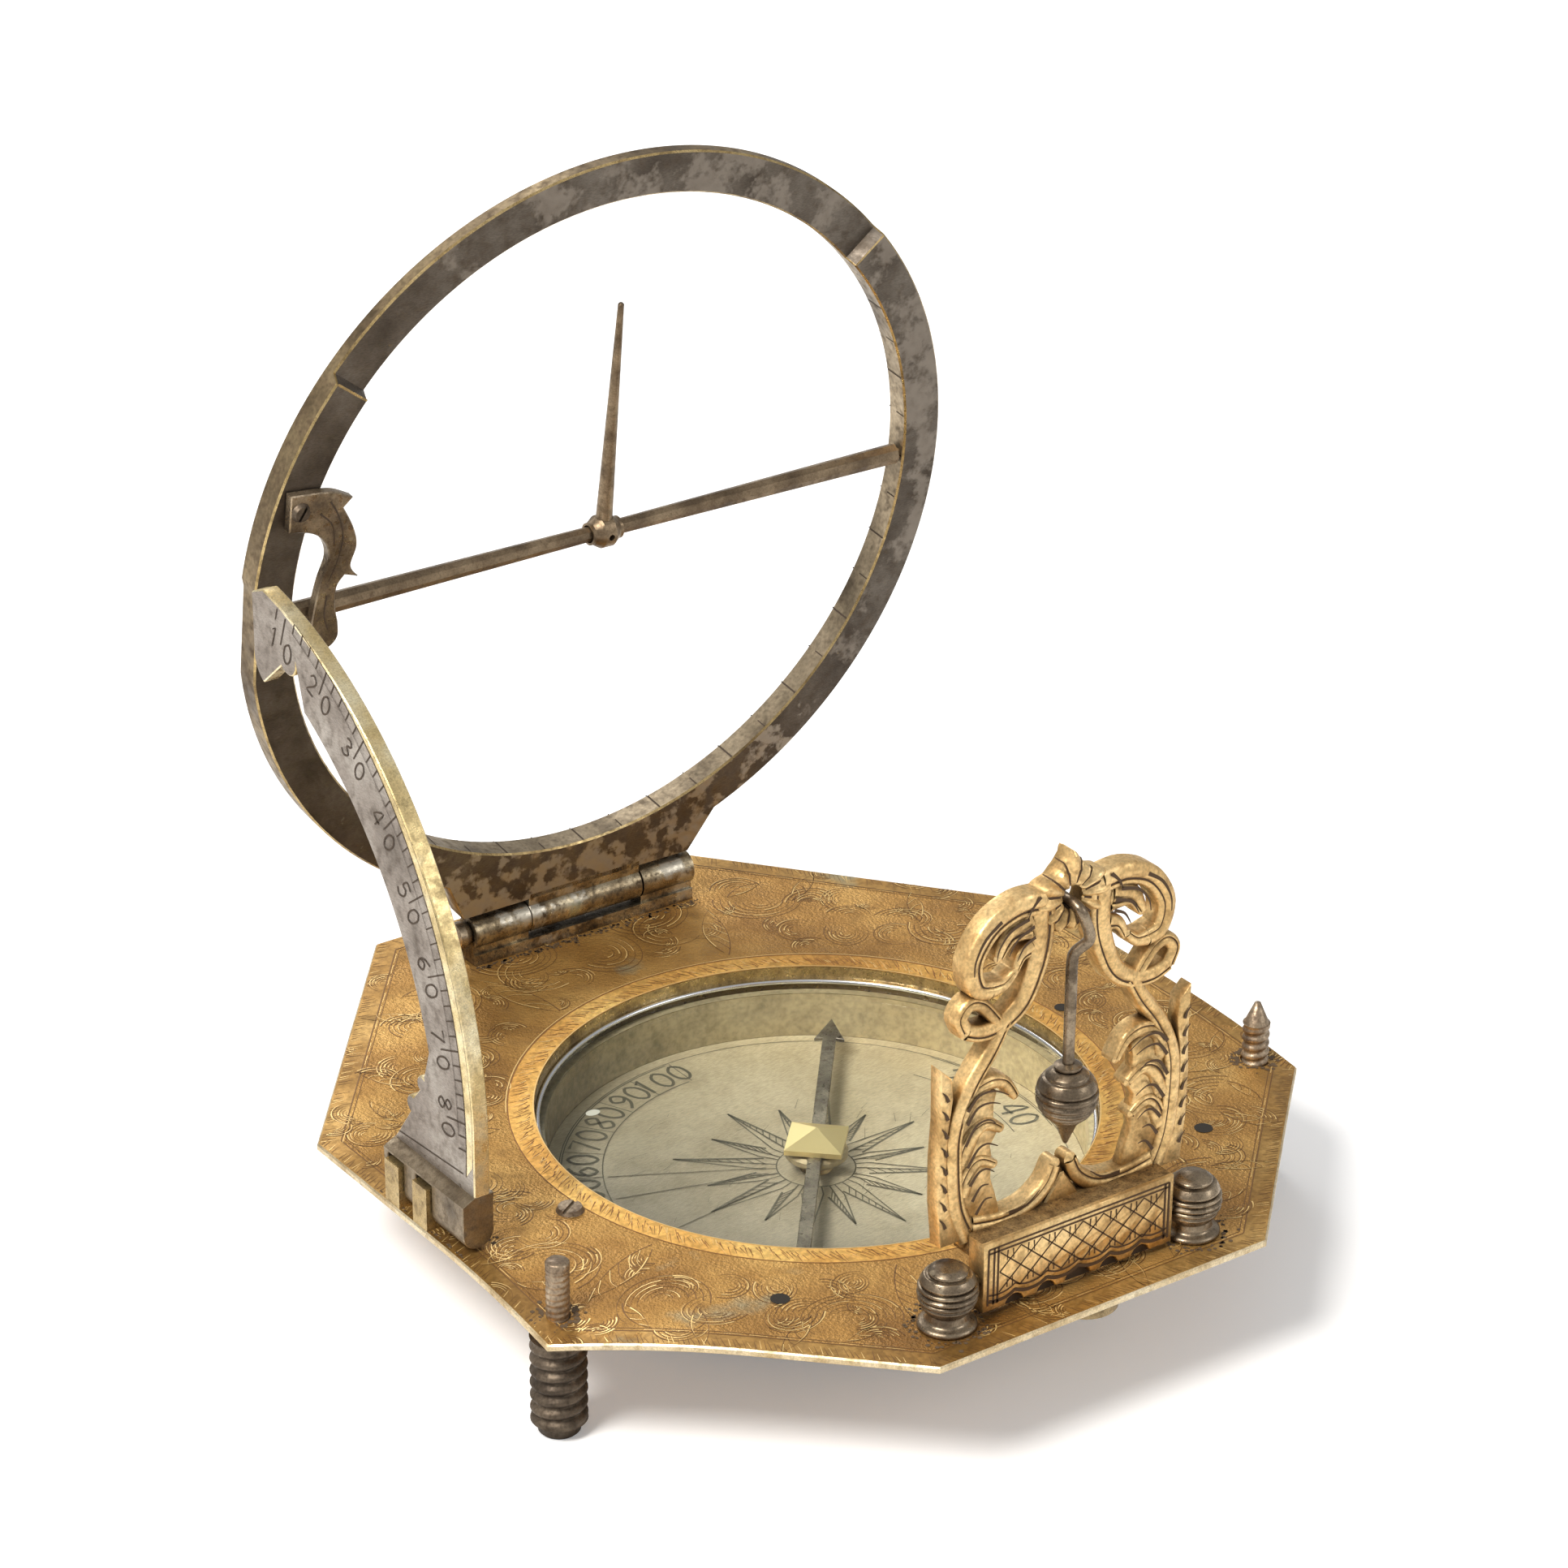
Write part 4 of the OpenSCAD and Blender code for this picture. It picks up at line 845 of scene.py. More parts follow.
# Empty holes, each a dark disc of painted shade on the plate
for name, angle, r, size in (("hole_east", 2.1, 20.5, 0.5), ("hole_southwest", 228.9, 23.9, 0.6),
                             ("hole_southeast", 317, 24.6, 0.6)):
    hole = Drawing()
    hole.disc(polar(r, angle), size)
    on_plate(name, hole, HOLE_SHADE, HOLE_LAYER)


# Compass
ROUND = 192
ROSE_TURN = 50.6
DEGREES_IN, DEGREES_OUT, DEGREES_MID = 13.7, 16.35, 15.0
NEEDLE_Z, NEEDLE_T = -3.6, 0.25


def disc_solid(r, top, thickness):
    return lathe([(0.0, top - thickness), (r, top - thickness), (r, top), (0.0, top)], ROUND)


def cylinder_wall(r, z0, z1):
    """Inside of a round wall, seen from its axis."""
    verts = [(*polar(r, 360 * k / ROUND), z) for k in range(ROUND) for z in (z0, z1)]
    count = len(verts)
    return verts, [(k, k + 1, (k + 3) % count, (k + 2) % count) for k in range(0, count, 2)]


GLASS_LOW = GLASS_TOP - GLASS_T
mesh("card", disc_solid(SEAT_R - 0.05, CARD_Z, 0.3), CARD, "base", replaces=["compass_card"])
mesh("compass_rim", cylinder_wall(COMPASS_R - 0.015, -0.02, GLASS_TOP + 0.02), EDGE_BRASS, "base")
mesh("compass_inner_wall", cylinder_wall(SEAT_R - 0.02, GLASS_LOW - 0.10, CARD_Z + 0.01), CARD_WALL, "base")
glass_seat = Drawing()
glass_seat.annulus(SEAT_R - 0.03, COMPASS_R - 0.03)
draw("glass_seat", glass_seat, CARD_WALL, "base", lift=GLASS_LOW - 0.06)
mesh("glass", disc_solid(COMPASS_R - 0.06, GLASS_TOP, GLASS_T), GLASS, "base", replaces=["compass_glass"])
# The wire that holds the glass is a ring with a small opening
wire = [(*point, GLASS_TOP + 0.18) for point in arc_points((0, 0), COMPASS_R - 0.18, 250, 604, 180)]
mesh("wire_ring", tube(wire, 0.165, 12), STEEL, "base", replaces=["glass_ring"])

rose = Drawing()
rose.circle((0, 0), 2.55, 0.09)
for k in range(16):
    a = ROSE_TURN + 22.5 * k + rng.uniform(-1.5, 1.5)
    major = k % 2 == 0
    reach = (9.0 if k % 4 == 0 else 8.6 if major else 7.4) + rng.uniform(-0.25, 0.25)
    half, waist = (11.25, 3.5) if major else (8.0, 3.9)
    tip, left, right, root = polar(reach, a), polar(waist, a + half), polar(waist, a - half), polar(2.6, a)
    for start, end, width in ((tip, left, 0.10), (tip, right, 0.15), (tip, root, 0.11),
                              (left, polar(2.6, a + half), 0.09)):
        rose.stroke([start, end], width)
    for j in range(1, 9):
        rose.stroke([between(root, tip, j / 9.5), between(right, tip, j / 9.5)], 0.09, 0.06)
rose.circle((0, 0), 16.5, 0.06)

# Strokes of the digits in a box 0.6 wide and 1 high, centred on the middle of their height.
DIGITS = {
    "0": [[(0.3, 0.5), (0.06, 0.25), (0.06, -0.25), (0.3, -0.5), (0.54, -0.25), (0.54, 0.25), (0.3, 0.5)]],
    "1": [[(0.15, 0.3), (0.32, 0.5), (0.32, -0.5)]],
    "2": [[(0.06, 0.28), (0.25, 0.5), (0.5, 0.35), (0.45, 0.05), (0.05, -0.5), (0.56, -0.5)]],
    "3": [[(0.06, 0.4), (0.3, 0.5), (0.5, 0.28), (0.25, 0.04), (0.54, -0.22), (0.3, -0.5), (0.04, -0.38)]],
    "4": [[(0.42, -0.5), (0.42, 0.5), (0.03, -0.18), (0.58, -0.18)]],
    "5": [[(0.52, 0.5), (0.12, 0.5), (0.1, 0.08), (0.38, 0.12), (0.54, -0.18), (0.32, -0.5), (0.04, -0.38)]],
    "6": [[(0.48, 0.46), (0.16, 0.2), (0.06, -0.2), (0.3, -0.5), (0.54, -0.22), (0.3, 0.04), (0.08, -0.14)]],
    "7": [[(0.05, 0.5), (0.56, 0.5), (0.2, -0.5)]],
    "8": [[(0.3, 0.02), (0.08, 0.26), (0.3, 0.5), (0.52, 0.26), (0.3, 0.02), (0.05, -0.25), (0.3, -0.5),
           (0.55, -0.25), (0.3, 0.02)]],
    "9": [[(0.52, 0.12), (0.3, -0.02), (0.06, 0.22), (0.3, 0.5), (0.54, 0.22), (0.46, -0.2), (0.15, -0.5)]],
    "I": [[(0.3, 0.5), (0.3, -0.5)]],
    "V": [[(0.0, 0.5), (0.3, -0.5)], [(0.3, -0.5), (0.6, 0.5)]],
    "X": [[(0.0, 0.5), (0.6, -0.5)], [(0.0, -0.5), (0.6, 0.5)]],
}


def write(drawing, text, centre, height, x, y, width, gap=0.75):
    """Numerals centred on a point; x is the reading direction and y the digits' upright."""
    start = -(len(text) * gap) / 2 + (gap - 0.6) / 2
    for i, letter in enumerate(text):
        for path in DIGITS[letter]:
            pts = [np.asarray(centre) + (x * (start + i * gap + px) + y * py) * height for px, py in path]
            drawing.stroke(smooth(pts, 3) if len(pts) > 3 else pts, width)


# Plain degree numbers on the card's circle, where the photo shows its lettering
for value, a in [(10 + 10 * k, 205 - 12 * k) for k in range(10)] + [(20, 14), (40, -8)]:
    write(rose, str(value), polar(DEGREES_MID, a), 2.0, polar(1, a - 90), polar(1, a), 0.22, gap=0.74)
for r in (DEGREES_IN, DEGREES_OUT):
    for start, end in ((92, 214), (-16, 26)):
        rose.circle((0, 0), r, 0.07, start, end)
for k in range(11):
    rose.stroke([polar(r, 211 - 12 * k) for r in (DEGREES_IN, DEGREES_OUT)], 0.06)
for a in (186, 163, 151):
    rose.stroke([polar(3.2, a - 2), polar(13.4, a)], 0.07)
# Scratches
for k in range(60):
    a, r = rng.uniform(0, 360), rng.uniform(4, 16.5)
    rose.stroke([polar(r, a), polar(r, a) + polar(rng.uniform(0.2, 1.6), rng.uniform(0, 60))], 0.035, 0.015)
draw("card_rose", rose, CARD_INK, "base", lift=CARD_Z + 0.03)
bubble = Drawing()
bubble.disc(polar(14.3, 143.5), 0.5, squash=0.7)
draw("glass_bubble", bubble, BUBBLE, "base", lift=GLASS_TOP + 0.01)

# Needle with its pyramid cap
SHAFT, TAIL, NECK, BARB, POINT = 0.45, -15.2, 13.9, 13.8, 16.6
arrow = [(TAIL, -SHAFT), (NECK, -SHAFT), (BARB, -1), (POINT, 0), (BARB, 1), (NECK, SHAFT), (TAIL, SHAFT)]
needle = prism([turned(p, math.radians(ROSE_TURN)) for p in arrow], NEEDLE_Z, NEEDLE_Z + NEEDLE_T, 0.04)
mesh("needle", needle, BLUED, "needle", replaces=["compass_needle"], flat=True)
CAP_HALF, CAP_TURN = 1.85, math.radians(ROSE_TURN - 4)
square = [turned((x * CAP_HALF, y * CAP_HALF), CAP_TURN) for x, y in ((-1, -1), (1, -1), (1, 1), (-1, 1))]
low = NEEDLE_Z + NEEDLE_T
verts = [(x, y, z) for z in (low, low + 0.35) for x, y in square] + [(0, 0, low + 1.15)]
faces = [(3, 2, 1, 0)] + [(k, (k + 1) % 4, 4 + (k + 1) % 4, 4 + k) for k in range(4)]
faces += [(4 + k, 4 + (k + 1) % 4, 8) for k in range(4)]
mesh("cap_pyramid", (verts, faces), CAP, "needle", replaces=["needle_cap"], flat=True)
collar = [(0.45, -0.75), (1.8, -0.75), (2.05, -0.5), (2.05, -0.2), (1.8, 0), (0.0, 0)]
mesh("cap_collar", lathe([(r, NEEDLE_Z + z) for r, z in collar]), CARD_WALL, "needle")


# Hour ring
RING_BACK = RING_SET - RING_T


def on_ring(r, a):
    return polar(r, a) + RING_CENTRE


def ring_solid():
    """Ring with its lug: eight points at each angle, with the front cut back over the top."""
    rows = []
    bevel, lug_low, lug_rise, lug_flare, lug_width = 0.12, LUG_FOOT - RING_REACH, 3.3, 1.6, 9.3
    flat_x, flat_south, flat_north = 0.3 - RING_RO, -6, 2.6
    steps = (THIN_FROM - THIN_RAMP, THIN_FROM, THIN_TO, THIN_TO + THIN_RAMP)
    for a in sorted([1.25 * k for k in range(288)] + [steps[0], THIN_FROM - 0.01, THIN_TO, steps[3]]):
        front = RING_SET - (RING_T - RING_THIN) * np.interp(a, steps, (0, 1, 1, 0))
        inner, outer = polar(RING_RI, a), polar(RING_RO, a)
        if outer[1] < lug_low + lug_rise and abs(outer[0]) < LUG_HALF + lug_flare:
            x = max(-LUG_HALF, min(LUG_HALF, outer[0] * LUG_HALF / lug_width))
            outer = np.array([x - RING_EAST, lug_low])
        # A small flat on the west side clears the latitude arc
        if outer[0] < flat_x and flat_south < outer[1] < flat_north:
            outer[0] = flat_x
        d = (outer - inner) / np.linalg.norm(outer - inner) * bevel
        section = [(inner, RING_BACK + bevel), (inner, front - bevel), (inner + d, front), (outer - d, front),
                   (outer, front - bevel), (outer, RING_BACK + bevel), (outer - d, RING_BACK),
                   (inner + d, RING_BACK)]
        rows.append([(*(p + RING_CENTRE), z) for p, z in section])
    return skin(rows, capped=False, looped=True, flipped=True)


ring = mesh("hour_ring", ring_solid(), SILVERED, "ring", where=to_ring, sharp=40)
for look in (RING_WALL, EDGE_BRASS, INNER_WALL, ARC_SILVER):
    ring.data.materials.append(look)
# Looks of the eight faces round the section: inner wall, bevel, front, bevel, outer wall, bevel, back, bevel
for i, polygon in enumerate(ring.data.polygons):
    polygon.material_index = (3, 2, 0, 2, 1, 1, 4, 0)[i % 8]
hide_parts("hour_ring")

# Bright worn lines where the thick part of the ring is stepped down
step_lines = Drawing()
for a in (THIN_FROM - THIN_RAMP, THIN_TO + THIN_RAMP):
    step_lines.stroke([on_ring(RING_RI + 0.1, a), on_ring(RING_RO - 0.1, a)], 0.16)
draw("ring_steps", step_lines, EDGE_BRASS, "ring", where=to_ring, lift=RING_SET + 0.012)

west, east, r = -3.85, 5.05, 1.15
verts, faces = lathe([(0.0, west), (r - 0.05, west), (r, west + 0.05), (r, east - 0.05), (r - 0.05, east),
                      (0.0, east)], 32)
barrel = [(z, x, y) for x, y, z in verts], faces
web = prism([(west, 0.2), (east, 0.2), (east, 2.0), (west, 2.0)], RING_BACK, RING_SET, 0.05)
mesh("ring_knuckle", joined(barrel, web), KNUCKLE, "ring", where=to_ring)

# Hour marks on the inner wall of the thick part, and hours on the north face
inner_marks, north_face = Drawing(), Drawing()
HOURS = "IIII V VI VII VIII IX X XI XII I II III IIII V VI VII VIII".split()
for k in range(-9, 10):
    a = 270 + 15 * k
    for ang, size, half in ((a, 1.0, 0.06), (a + 7.5, 0.55, 0.04)):
        if THIN_FROM - 4 < ang % 360 < THIN_TO + 4:
            continue
        c, aside, top = on_ring(RING_RI - 0.02, ang), polar(half, ang + 90), RING_SET - 0.15
        ends = (top, top - (RING_T - 0.3) * size)
        inner_marks.ladder([((*(c - aside), z), (*(c + aside), z)) for z in ends])
        north_face.stroke([on_ring(RING_RI + 0.05, ang), on_ring(RING_RI + 0.6 * size + 0.1, ang)], 0.09)
    if abs(k) <= 8:
        text = HOURS[k + 8]
        hour, gap = Drawing(), 0.62 if len(text) < 4 else 0.42
        write(hour, text, (0, 0), 1.1, np.array([1, 0]), np.array([0, 1]), 0.10, gap)
        c, x_axis, y_axis = on_ring(RING_RI + 1.65, a), polar(1, a - 90), -polar(1, a)
        hour.verts = [(*(c + x_axis * x + y_axis * y), 0) for x, y, z in hour.verts]
        north_face.verts, north_face.faces = joined(
            (north_face.verts, north_face.faces), (hour.verts, hour.faces))
for r in (RING_RO - 0.45, RING_RI + 0.75):
    north_face.circle(RING_CENTRE, r, 0.06)
draw("ring_hour_marks", inner_marks, INK, "ring", where=to_ring)
draw("ring_hours", north_face, INK, "ring", where=to_ring, lift=RING_BACK - 0.03)


# Scroll spring and gnomon pin
def from_wall(points):
    """Points measured from the middle of the ring's west inner wall."""
    return [(RING_EAST - RING_RI + x, y + RING_REACH) for x, y in points]


SPRING_T = 0.7
spring = np.concatenate([
    smooth([(-0.8, 9.3), (1.2, 9.1), (2.4, 8.85), (3.65, 8.2)], 5),
    smooth([(3.0, 7.6), (3.75, 6.1), (4.08, 4.7), (3.7, 3.3), (4.3, 2.4)], 5),
    smooth([(3.3, 2.75), (2.75, 2.0), (2.7, 0.6), (2.95, -0.6), (2.95, -1.7), (2.2, -2.3), (1.45, -1.8),
            (1.0, -0.75), (1.2, 1.0), (1.55, 2.65), (2.05, 4.25), (1.7, 5.5), (0.8, 6.3), (-0.85, 6.75)], 5)])
spring = prism(from_wall(spring), RING_SET, RING_SET + SPRING_T, 0.08)
mesh("scroll_spring", spring, DARK, "ring", where=to_ring, replaces=["gnomon_spring"])
spring_cuts = Drawing()
for path in ([(2.0, 8.3), (2.6, 7.2), (3.0, 5.6), (2.7, 4.0), (2.1, 2.6)],
             [(1.3, 7.6), (2.2, 6.6), (2.4, 5.2)], [(2.0, 1.6), (1.9, 0.2), (2.2, -0.9)]):
    spring_cuts.stroke(smooth(from_wall(path), 5), 0.12, 0.05)
draw("scroll_spring_cuts", spring_cuts, INK, "ring", where=to_ring, lift=RING_SET + SPRING_T + 0.02)

verts, faces = lathe([(0.0, 0.62), (0.54, 0.62), (0.54, 1.2), (0.2, 16.4), (0.12, 16.5), (0.0, 16.5)], 24)
verts = [(x + RING_EAST, z + RING_REACH, y + RING_SET - 0.75) for x, y, z in verts]
mesh("gnomon_pin", (verts, faces), BAR_BRASS, "gnomon", where=to_ring, replaces=["gnomon_pin"])


# Latitude arc
def arc_outline():
    """West face of the latitude arc, in its drawing plane."""
    c, toe, h = ARC_IN_C, ARC_NORTH, ARC_FOOT_H
    return [(ARC_SOUTH, h - 0.5), *arc_points(ARC_OUT_C, ARC_OUT_R, 180, 101, 60), c + (-7.7, 30.4),
            *arc_points(c + (-9.8, 26.5), 2.1, 10, -60, 8),
            *arc_points(c + (-11.8, 27.3), 1.0, -40, -190, 10),
            *arc_points(c, ARC_IN_R, 119, 165, 40), c + (-26.4, 5.2),
            *arc_points((toe - 3.3, h + 5.1), 0.55, 120, -60, 8),
            *arc_points((toe - 2.1, h + 3.2), 0.6, 110, -70, 8),
            (toe - 0.6, h + 0.8), (toe, h), (toe, h - 0.5)]


def laid_north(outline, y0, y1, bevel):
    """Solid that runs from south to north; its outline is in X and Z."""
    verts, faces = prism(outline, y0, y1, bevel)
    return [(x, z, y) for x, y, z in verts], [tuple(reversed(face)) for face in faces]


arc = mesh("latitude_arc", prism(arc_outline(), -ARC_T, 0.0, 0.08), ARC_SILVER, "arc", where=to_arc,
           replaces=["latitude_arc"])
arc.data.materials.append(ARC_EDGE)
for polygon in arc.data.polygons:
    if abs(polygon.normal.x) < 0.9:
        polygon.material_index = 1
west, east, outer = ARC_HINGE_X - ARC_FOOT_R, ARC_HINGE_X + ARC_FOOT_R, ARC_X - ARC_T
knuckle = arc_points((ARC_HINGE_X, ARC_HINGE_Z), ARC_FOOT_R - 0.01, 180, 360, 20)
knuckle += [(east - 0.01, 3.4), (west + 0.01, 3.3)]
feet = [laid_north(knuckle, y0, y1, 0.05)
        for y0, y1 in ((ARC_SOUTH + 0.01, 0.28), (2.12, 3.48), (5.32, ARC_NORTH - 0.01))]
shelf = [(west, 3.22), (east, 3.22), (east, ARC_FOOT_H), (outer, ARC_FOOT_H), (west, 3.36)]
feet.append(laid_north(shelf, ARC_SOUTH - 0.01, ARC_NORTH + 0.01, 0.04))
mesh("arc_foot", joined(*feet), ARC_FOOT, "arc", sharp=30)

arc_marks, bevel_face = Drawing(), Drawing()
bevel_line = arc_points(ARC_BEVEL_C, ARC_BEVEL_R, 184, 113, 50)
outer_edge = arc_points(ARC_OUT_C, ARC_OUT_R - 0.1, 183.5, 106, 50)
arc_marks.stroke(bevel_line, 0.07)
bevel_face.verts = [(*p, 0.0) for p in outer_edge + bevel_line]
n = len(outer_edge)
bevel_face.faces = [(k, k + 1, n + k + 1, n + k) for k in range(n - 1)]
draw("arc_bevel", bevel_face, ARC_EDGE, "arc", where=to_arc, lift=0.012)


def on_scale(angle, inset):
    """Point at a direction from the ring's hinge axis, inset from the scale's edge."""
    hinge, d = np.array([HINGE_Y, HINGE_Z]), polar(1, angle)
    c = ARC_BEVEL_C - hinge
    b = np.dot(d, c)
    return hinge + d * (b + math.sqrt(b * b - np.dot(c, c) + (ARC_BEVEL_R - inset) ** 2))


# In the photo ten degrees of the scale take 8.4 degrees round the hinge
SCALE_START, SCALE_STEP = 101.3, 0.84
for degree in range(8, 86, 2):
    a = SCALE_START + SCALE_STEP * degree
    tens = degree % 10 == 0
    length, width = (2.1, 0.10) if tens else (0.85, 0.09)
    start = 0.0 if degree > 10 else 0.5
    arc_marks.stroke([on_scale(a, start), on_scale(a, start + length)], width)
    if tens:
        down, out = polar(1, a + 90), polar(1, a)
        for digit, side in zip(str(degree), (-1, 1)):
            write(arc_marks, digit, on_scale(a, start + 2.15) + down * side * 0.85, 1.45, down, out, 0.12)
arc_marks.stroke([on_scale(SCALE_START + SCALE_STEP * d, 0.85) for d in range(12, 84, 2)], 0.04)
arc_marks.stroke([(ARC_SOUTH + 1.2, 4.9), (ARC_NORTH - 0.5, 4.4)], 0.07)
draw("arc_marks", arc_marks, INK, "arc", where=to_arc, lift=0.03)

# Plumb stand
CARVED_SHARP, TURNED_SHARP = 50, 60
# Section across a carved band: place across it and height; -1 stands for the flat back.
CROSS = [(-0.5, -1.0), (-0.5, -0.28), (-0.42, -0.10), (-0.31, -0.02), (-0.24, -0.04), (-0.19, -0.20),
         (-0.14, -0.06), (0.0, 0.06), (0.2, 0.04), (0.36, -0.06), (0.46, -0.16), (0.5, -0.30), (0.5, -1.0)]


def carved_band(points, w0, w1, height, back, flip):
    """A chased band: rounded shoulders and one deep groove along it, with a flat back and round ends."""
    path = smooth(points)
    across = normals2(path) * flip
    widths = np.linspace(w0, w1, len(path))
    rows = [[(*(p + d * u * w), back if h == -1.0 else h * min(1.0, w) + height) for u, h in CROSS]
            for p, d, w in zip(path, across, widths)]
    verts, faces = skin(rows, capped=False)
    for i, heading in ((0, path[0] - path[1]), (-1, path[-1] - path[-2])):
        ahead = heading / np.linalg.norm(heading)
        top, base = height - 0.28 * min(1.0, widths[i]), len(verts)
        for a in np.radians([0, 30, 60, 90, 120, 150, 180]):
            q = path[i] + (across[i] * math.cos(a) + ahead * math.sin(a)) * widths[i] / 2
            verts += [(*q, top), (*q, back)]
        for k in range(base, base + 12, 2):
            faces += [(k, k + 1, k + 3, k + 2), (k, k + 2, len(verts))]
        verts.append((*path[i], height))
    return verts, faces


# Each band: its path, its width at both ends and its height
BANDS = [
    ([(2.2, 25.4), (4, 25.5), (5.9, 24.7), (7.1, 22.9), (6.8, 21.2), (5.8, 20.8)], 1.6, 1.2, 0.10),
    ([(5.8, 20.8), (4.9, 20.9), (4.2, 21.5)], 1.2, 0.5, 0.08),
    ([(2.1, 25), (2.1, 23), (2.5, 21.2), (3.4, 19.3), (4.8, 18.3), (6.3, 18.1), (7.5, 18.5)], 1.8, 1.0, 0.05),
    ([(7.5, 18.5), (7.9, 19.5), (7.3, 20.2), (6.5, 20), (5.9, 19.4), (5.2, 18.5)], 1.0, 0.8, 0.02),
    ([(3, 24.2), (4.5, 23.9), (5.3, 22.7)], 2.1, 0.7, -0.02),
    ([(2.8, 22.6), (3.6, 22.3), (4.1, 21.4)], 1.2, 0.5, -0.06),
    ([(4.7, 18.4), (5.6, 16.8), (7.1, 14.7), (8.1, 12.2), (8.2, 9.6), (7.9, 6.8), (7, 4.6)], 1.0, 1.4, 0.06),
    ([(7.6, 12.6), (7.1, 14), (5.8, 14.6), (4.6, 14.3), (3.8, 13.2)], 1.5, 0.6, 0.0),
    ([(7.7, 9.8), (6.9, 11.4), (5.9, 11.9), (4.8, 11.3)], 1.6, 0.6, -0.02),
    ([(7.6, 7.6), (6.9, 9.1), (6.2, 9.5), (5.2, 9.0)], 1.5, 0.6, -0.04),
    ([(6.8, 5.2), (4.6, 4.9), (2.6, 5.2), (1.2, 6.2), (0.6, 7.4)], 1.5, 0.9, 0.03),
]
# Flat pieces of the scroll plate: the column with its cut top, and the ground of the acanthus
COLUMN = [(9.35, 16.6), (8.55, 15.8), (8.4, 14.4), (8.7, 12.2), (8.75, 9.6), (8.4, 6.8), (7.5, 4.6),
          (9.1, 4.6), (9.4, 7.5), (9.45, 10.5), (9.3, 13)]
LEAF_GROUND = [(7.3, 14.2), (6.0, 14.4), (5.0, 13.8), (5.2, 12.9), (5.2, 11.6), (4.9, 11.0), (5.4, 10.2),
               (5.2, 9.3), (5.3, 8), (4.9, 6.8), (4.5, 5.4), (7.2, 5.2), (8.0, 7.6), (8.2, 10), (7.9, 12.2)]
# Veins of the acanthus and curls of the upper leaves
VEINS = [
    [(7.5, 13.4), (6.7, 14.2), (5.6, 14.2), (4.5, 13.6)],
    [(7.5, 12.5), (6.8, 13.4), (5.9, 13.5), (5.1, 13.2)],
    [(7.6, 11.1), (6.9, 12.2), (6.0, 12.4), (5.4, 12.0)],
    [(7.4, 9.6), (6.7, 10.6), (6.0, 10.8), (5.2, 10.4)],
    [(7.2, 8.3), (6.6, 9.0), (6.0, 9.1), (5.4, 8.7)],
    [(7.0, 7.2), (6.4, 8.0), (5.8, 8.0)],
    [(6.7, 6.2), (6.1, 7.0), (5.5, 7.0)],
    [(3.4, 24.8), (4.7, 24.4), (5.5, 23.5), (5.7, 22.7)],
    [(3.0, 24.2), (4.2, 23.7), (4.8, 22.8)],
    [(2.9, 23.5), (3.7, 23.1), (4.2, 22.3)],
    [(2.6, 26.0), (3.2, 25.4), (3.5, 24.8)],
    [(5.4, 25.2), (6.5, 24.4), (7.2, 23.2), (7.3, 22.2)],
    [(4.2, 5.5), (2.9, 5.6), (1.9, 6.3)],
]
CREST_EDGE = [*smooth([(-0.3, 28.3), (0.5, 27.7), (1.1, 26.9), (1.9, 26.5), (2.9, 26)], 5),
              *smooth([(2.6, 24.6), (1.5, 23.4), (0.5, 23), (-0.3, 23.2)], 5)]
CREST = CREST_EDGE + mirrored([p for p in reversed(CREST_EDGE) if p[0] > 0.05], -1)
CREST_RIDGES, CREST_RELIEF = 12, 0.16
HOOK_HOLE = np.array([0, HOOK_HOLE_Z])


def back_of(place):
    """Each piece of the scroll plate ends a little before the last one, so that no two backs coincide."""
    return -SCROLL_T + 0.012 * place


scroll_solids, scroll_cuts = [], Drawing()
for i, (points, w0, w1, height) in enumerate(BANDS):
    for s in (1, -1):
        pts = mirrored(points, s)
        scroll_solids.append(carved_band(pts, w0, w1, height, back_of(i + 1), s))
        path = smooth(pts)
        side = normals2(path) * s * np.linspace(w0, w1, len(path))[:, None]
        scroll_cuts.stroke((path - side * 0.19)[1:-2], 0.26, 0.10, height=height - 0.11)
for s in (1, -1):
    for outline, place, front, bevel in ((COLUMN, 12, -0.03, 0.10), (LEAF_GROUND, 13, -0.22, 0.15)):
        scroll_solids.append(prism(mirrored(outline, s), back_of(place), front, bevel))
mesh("scroll_plate", joined(*scroll_solids), CARVED, "stand", where=to_stand, replaces=["plumb_stand"],
     sharp=CARVED_SHARP)


def crest_reach(angles):
    """Distance from the hook's hole to the crest's edge at the given angles."""
    d = np.asarray(CREST, float) - HOOK_HOLE
    known = sorted(zip(np.degrees(np.arctan2(d[:, 1], d[:, 0])) % 360, np.hypot(d[:, 0], d[:, 1])))
    return np.interp(np.asarray(angles) % 360, *zip(*known), period=360)


def crest_solid():
    """Plate round the hook's hole, with ridges that fan out from the hole to the edge."""
    angles = np.arange(0, 360, 2.0)
    wave = np.cos(np.radians(CREST_RIDGES * angles))
    reach = crest_reach(angles) * (0.975 + 0.025 * wave)
    inner = [HOOK_HOLE + polar(HOOK_HOLE_R, a) for a in angles]
    outer = [HOOK_HOLE + polar(r, a) for r, a in zip(reach, angles)]
    rows = [[(*between(p, q, t), z + ridge * CREST_RELIEF * w) for p, q, w in zip(inner, outer, wave)]
            for t, z, ridge in ((0.0, -0.2, 0.3), (0.12, -0.05, 0.7), (0.6, 0.11, 1.0), (0.9, -0.05, 1.0),
                                (1.0, -0.25, 0.6))]
    rows += [[(*p, -SCROLL_T) for p in row] for row in (outer, inner)]
    return skin(rows, capped=False, looped=True)


mesh("crest", crest_solid(), CARVED, "stand", where=to_stand)
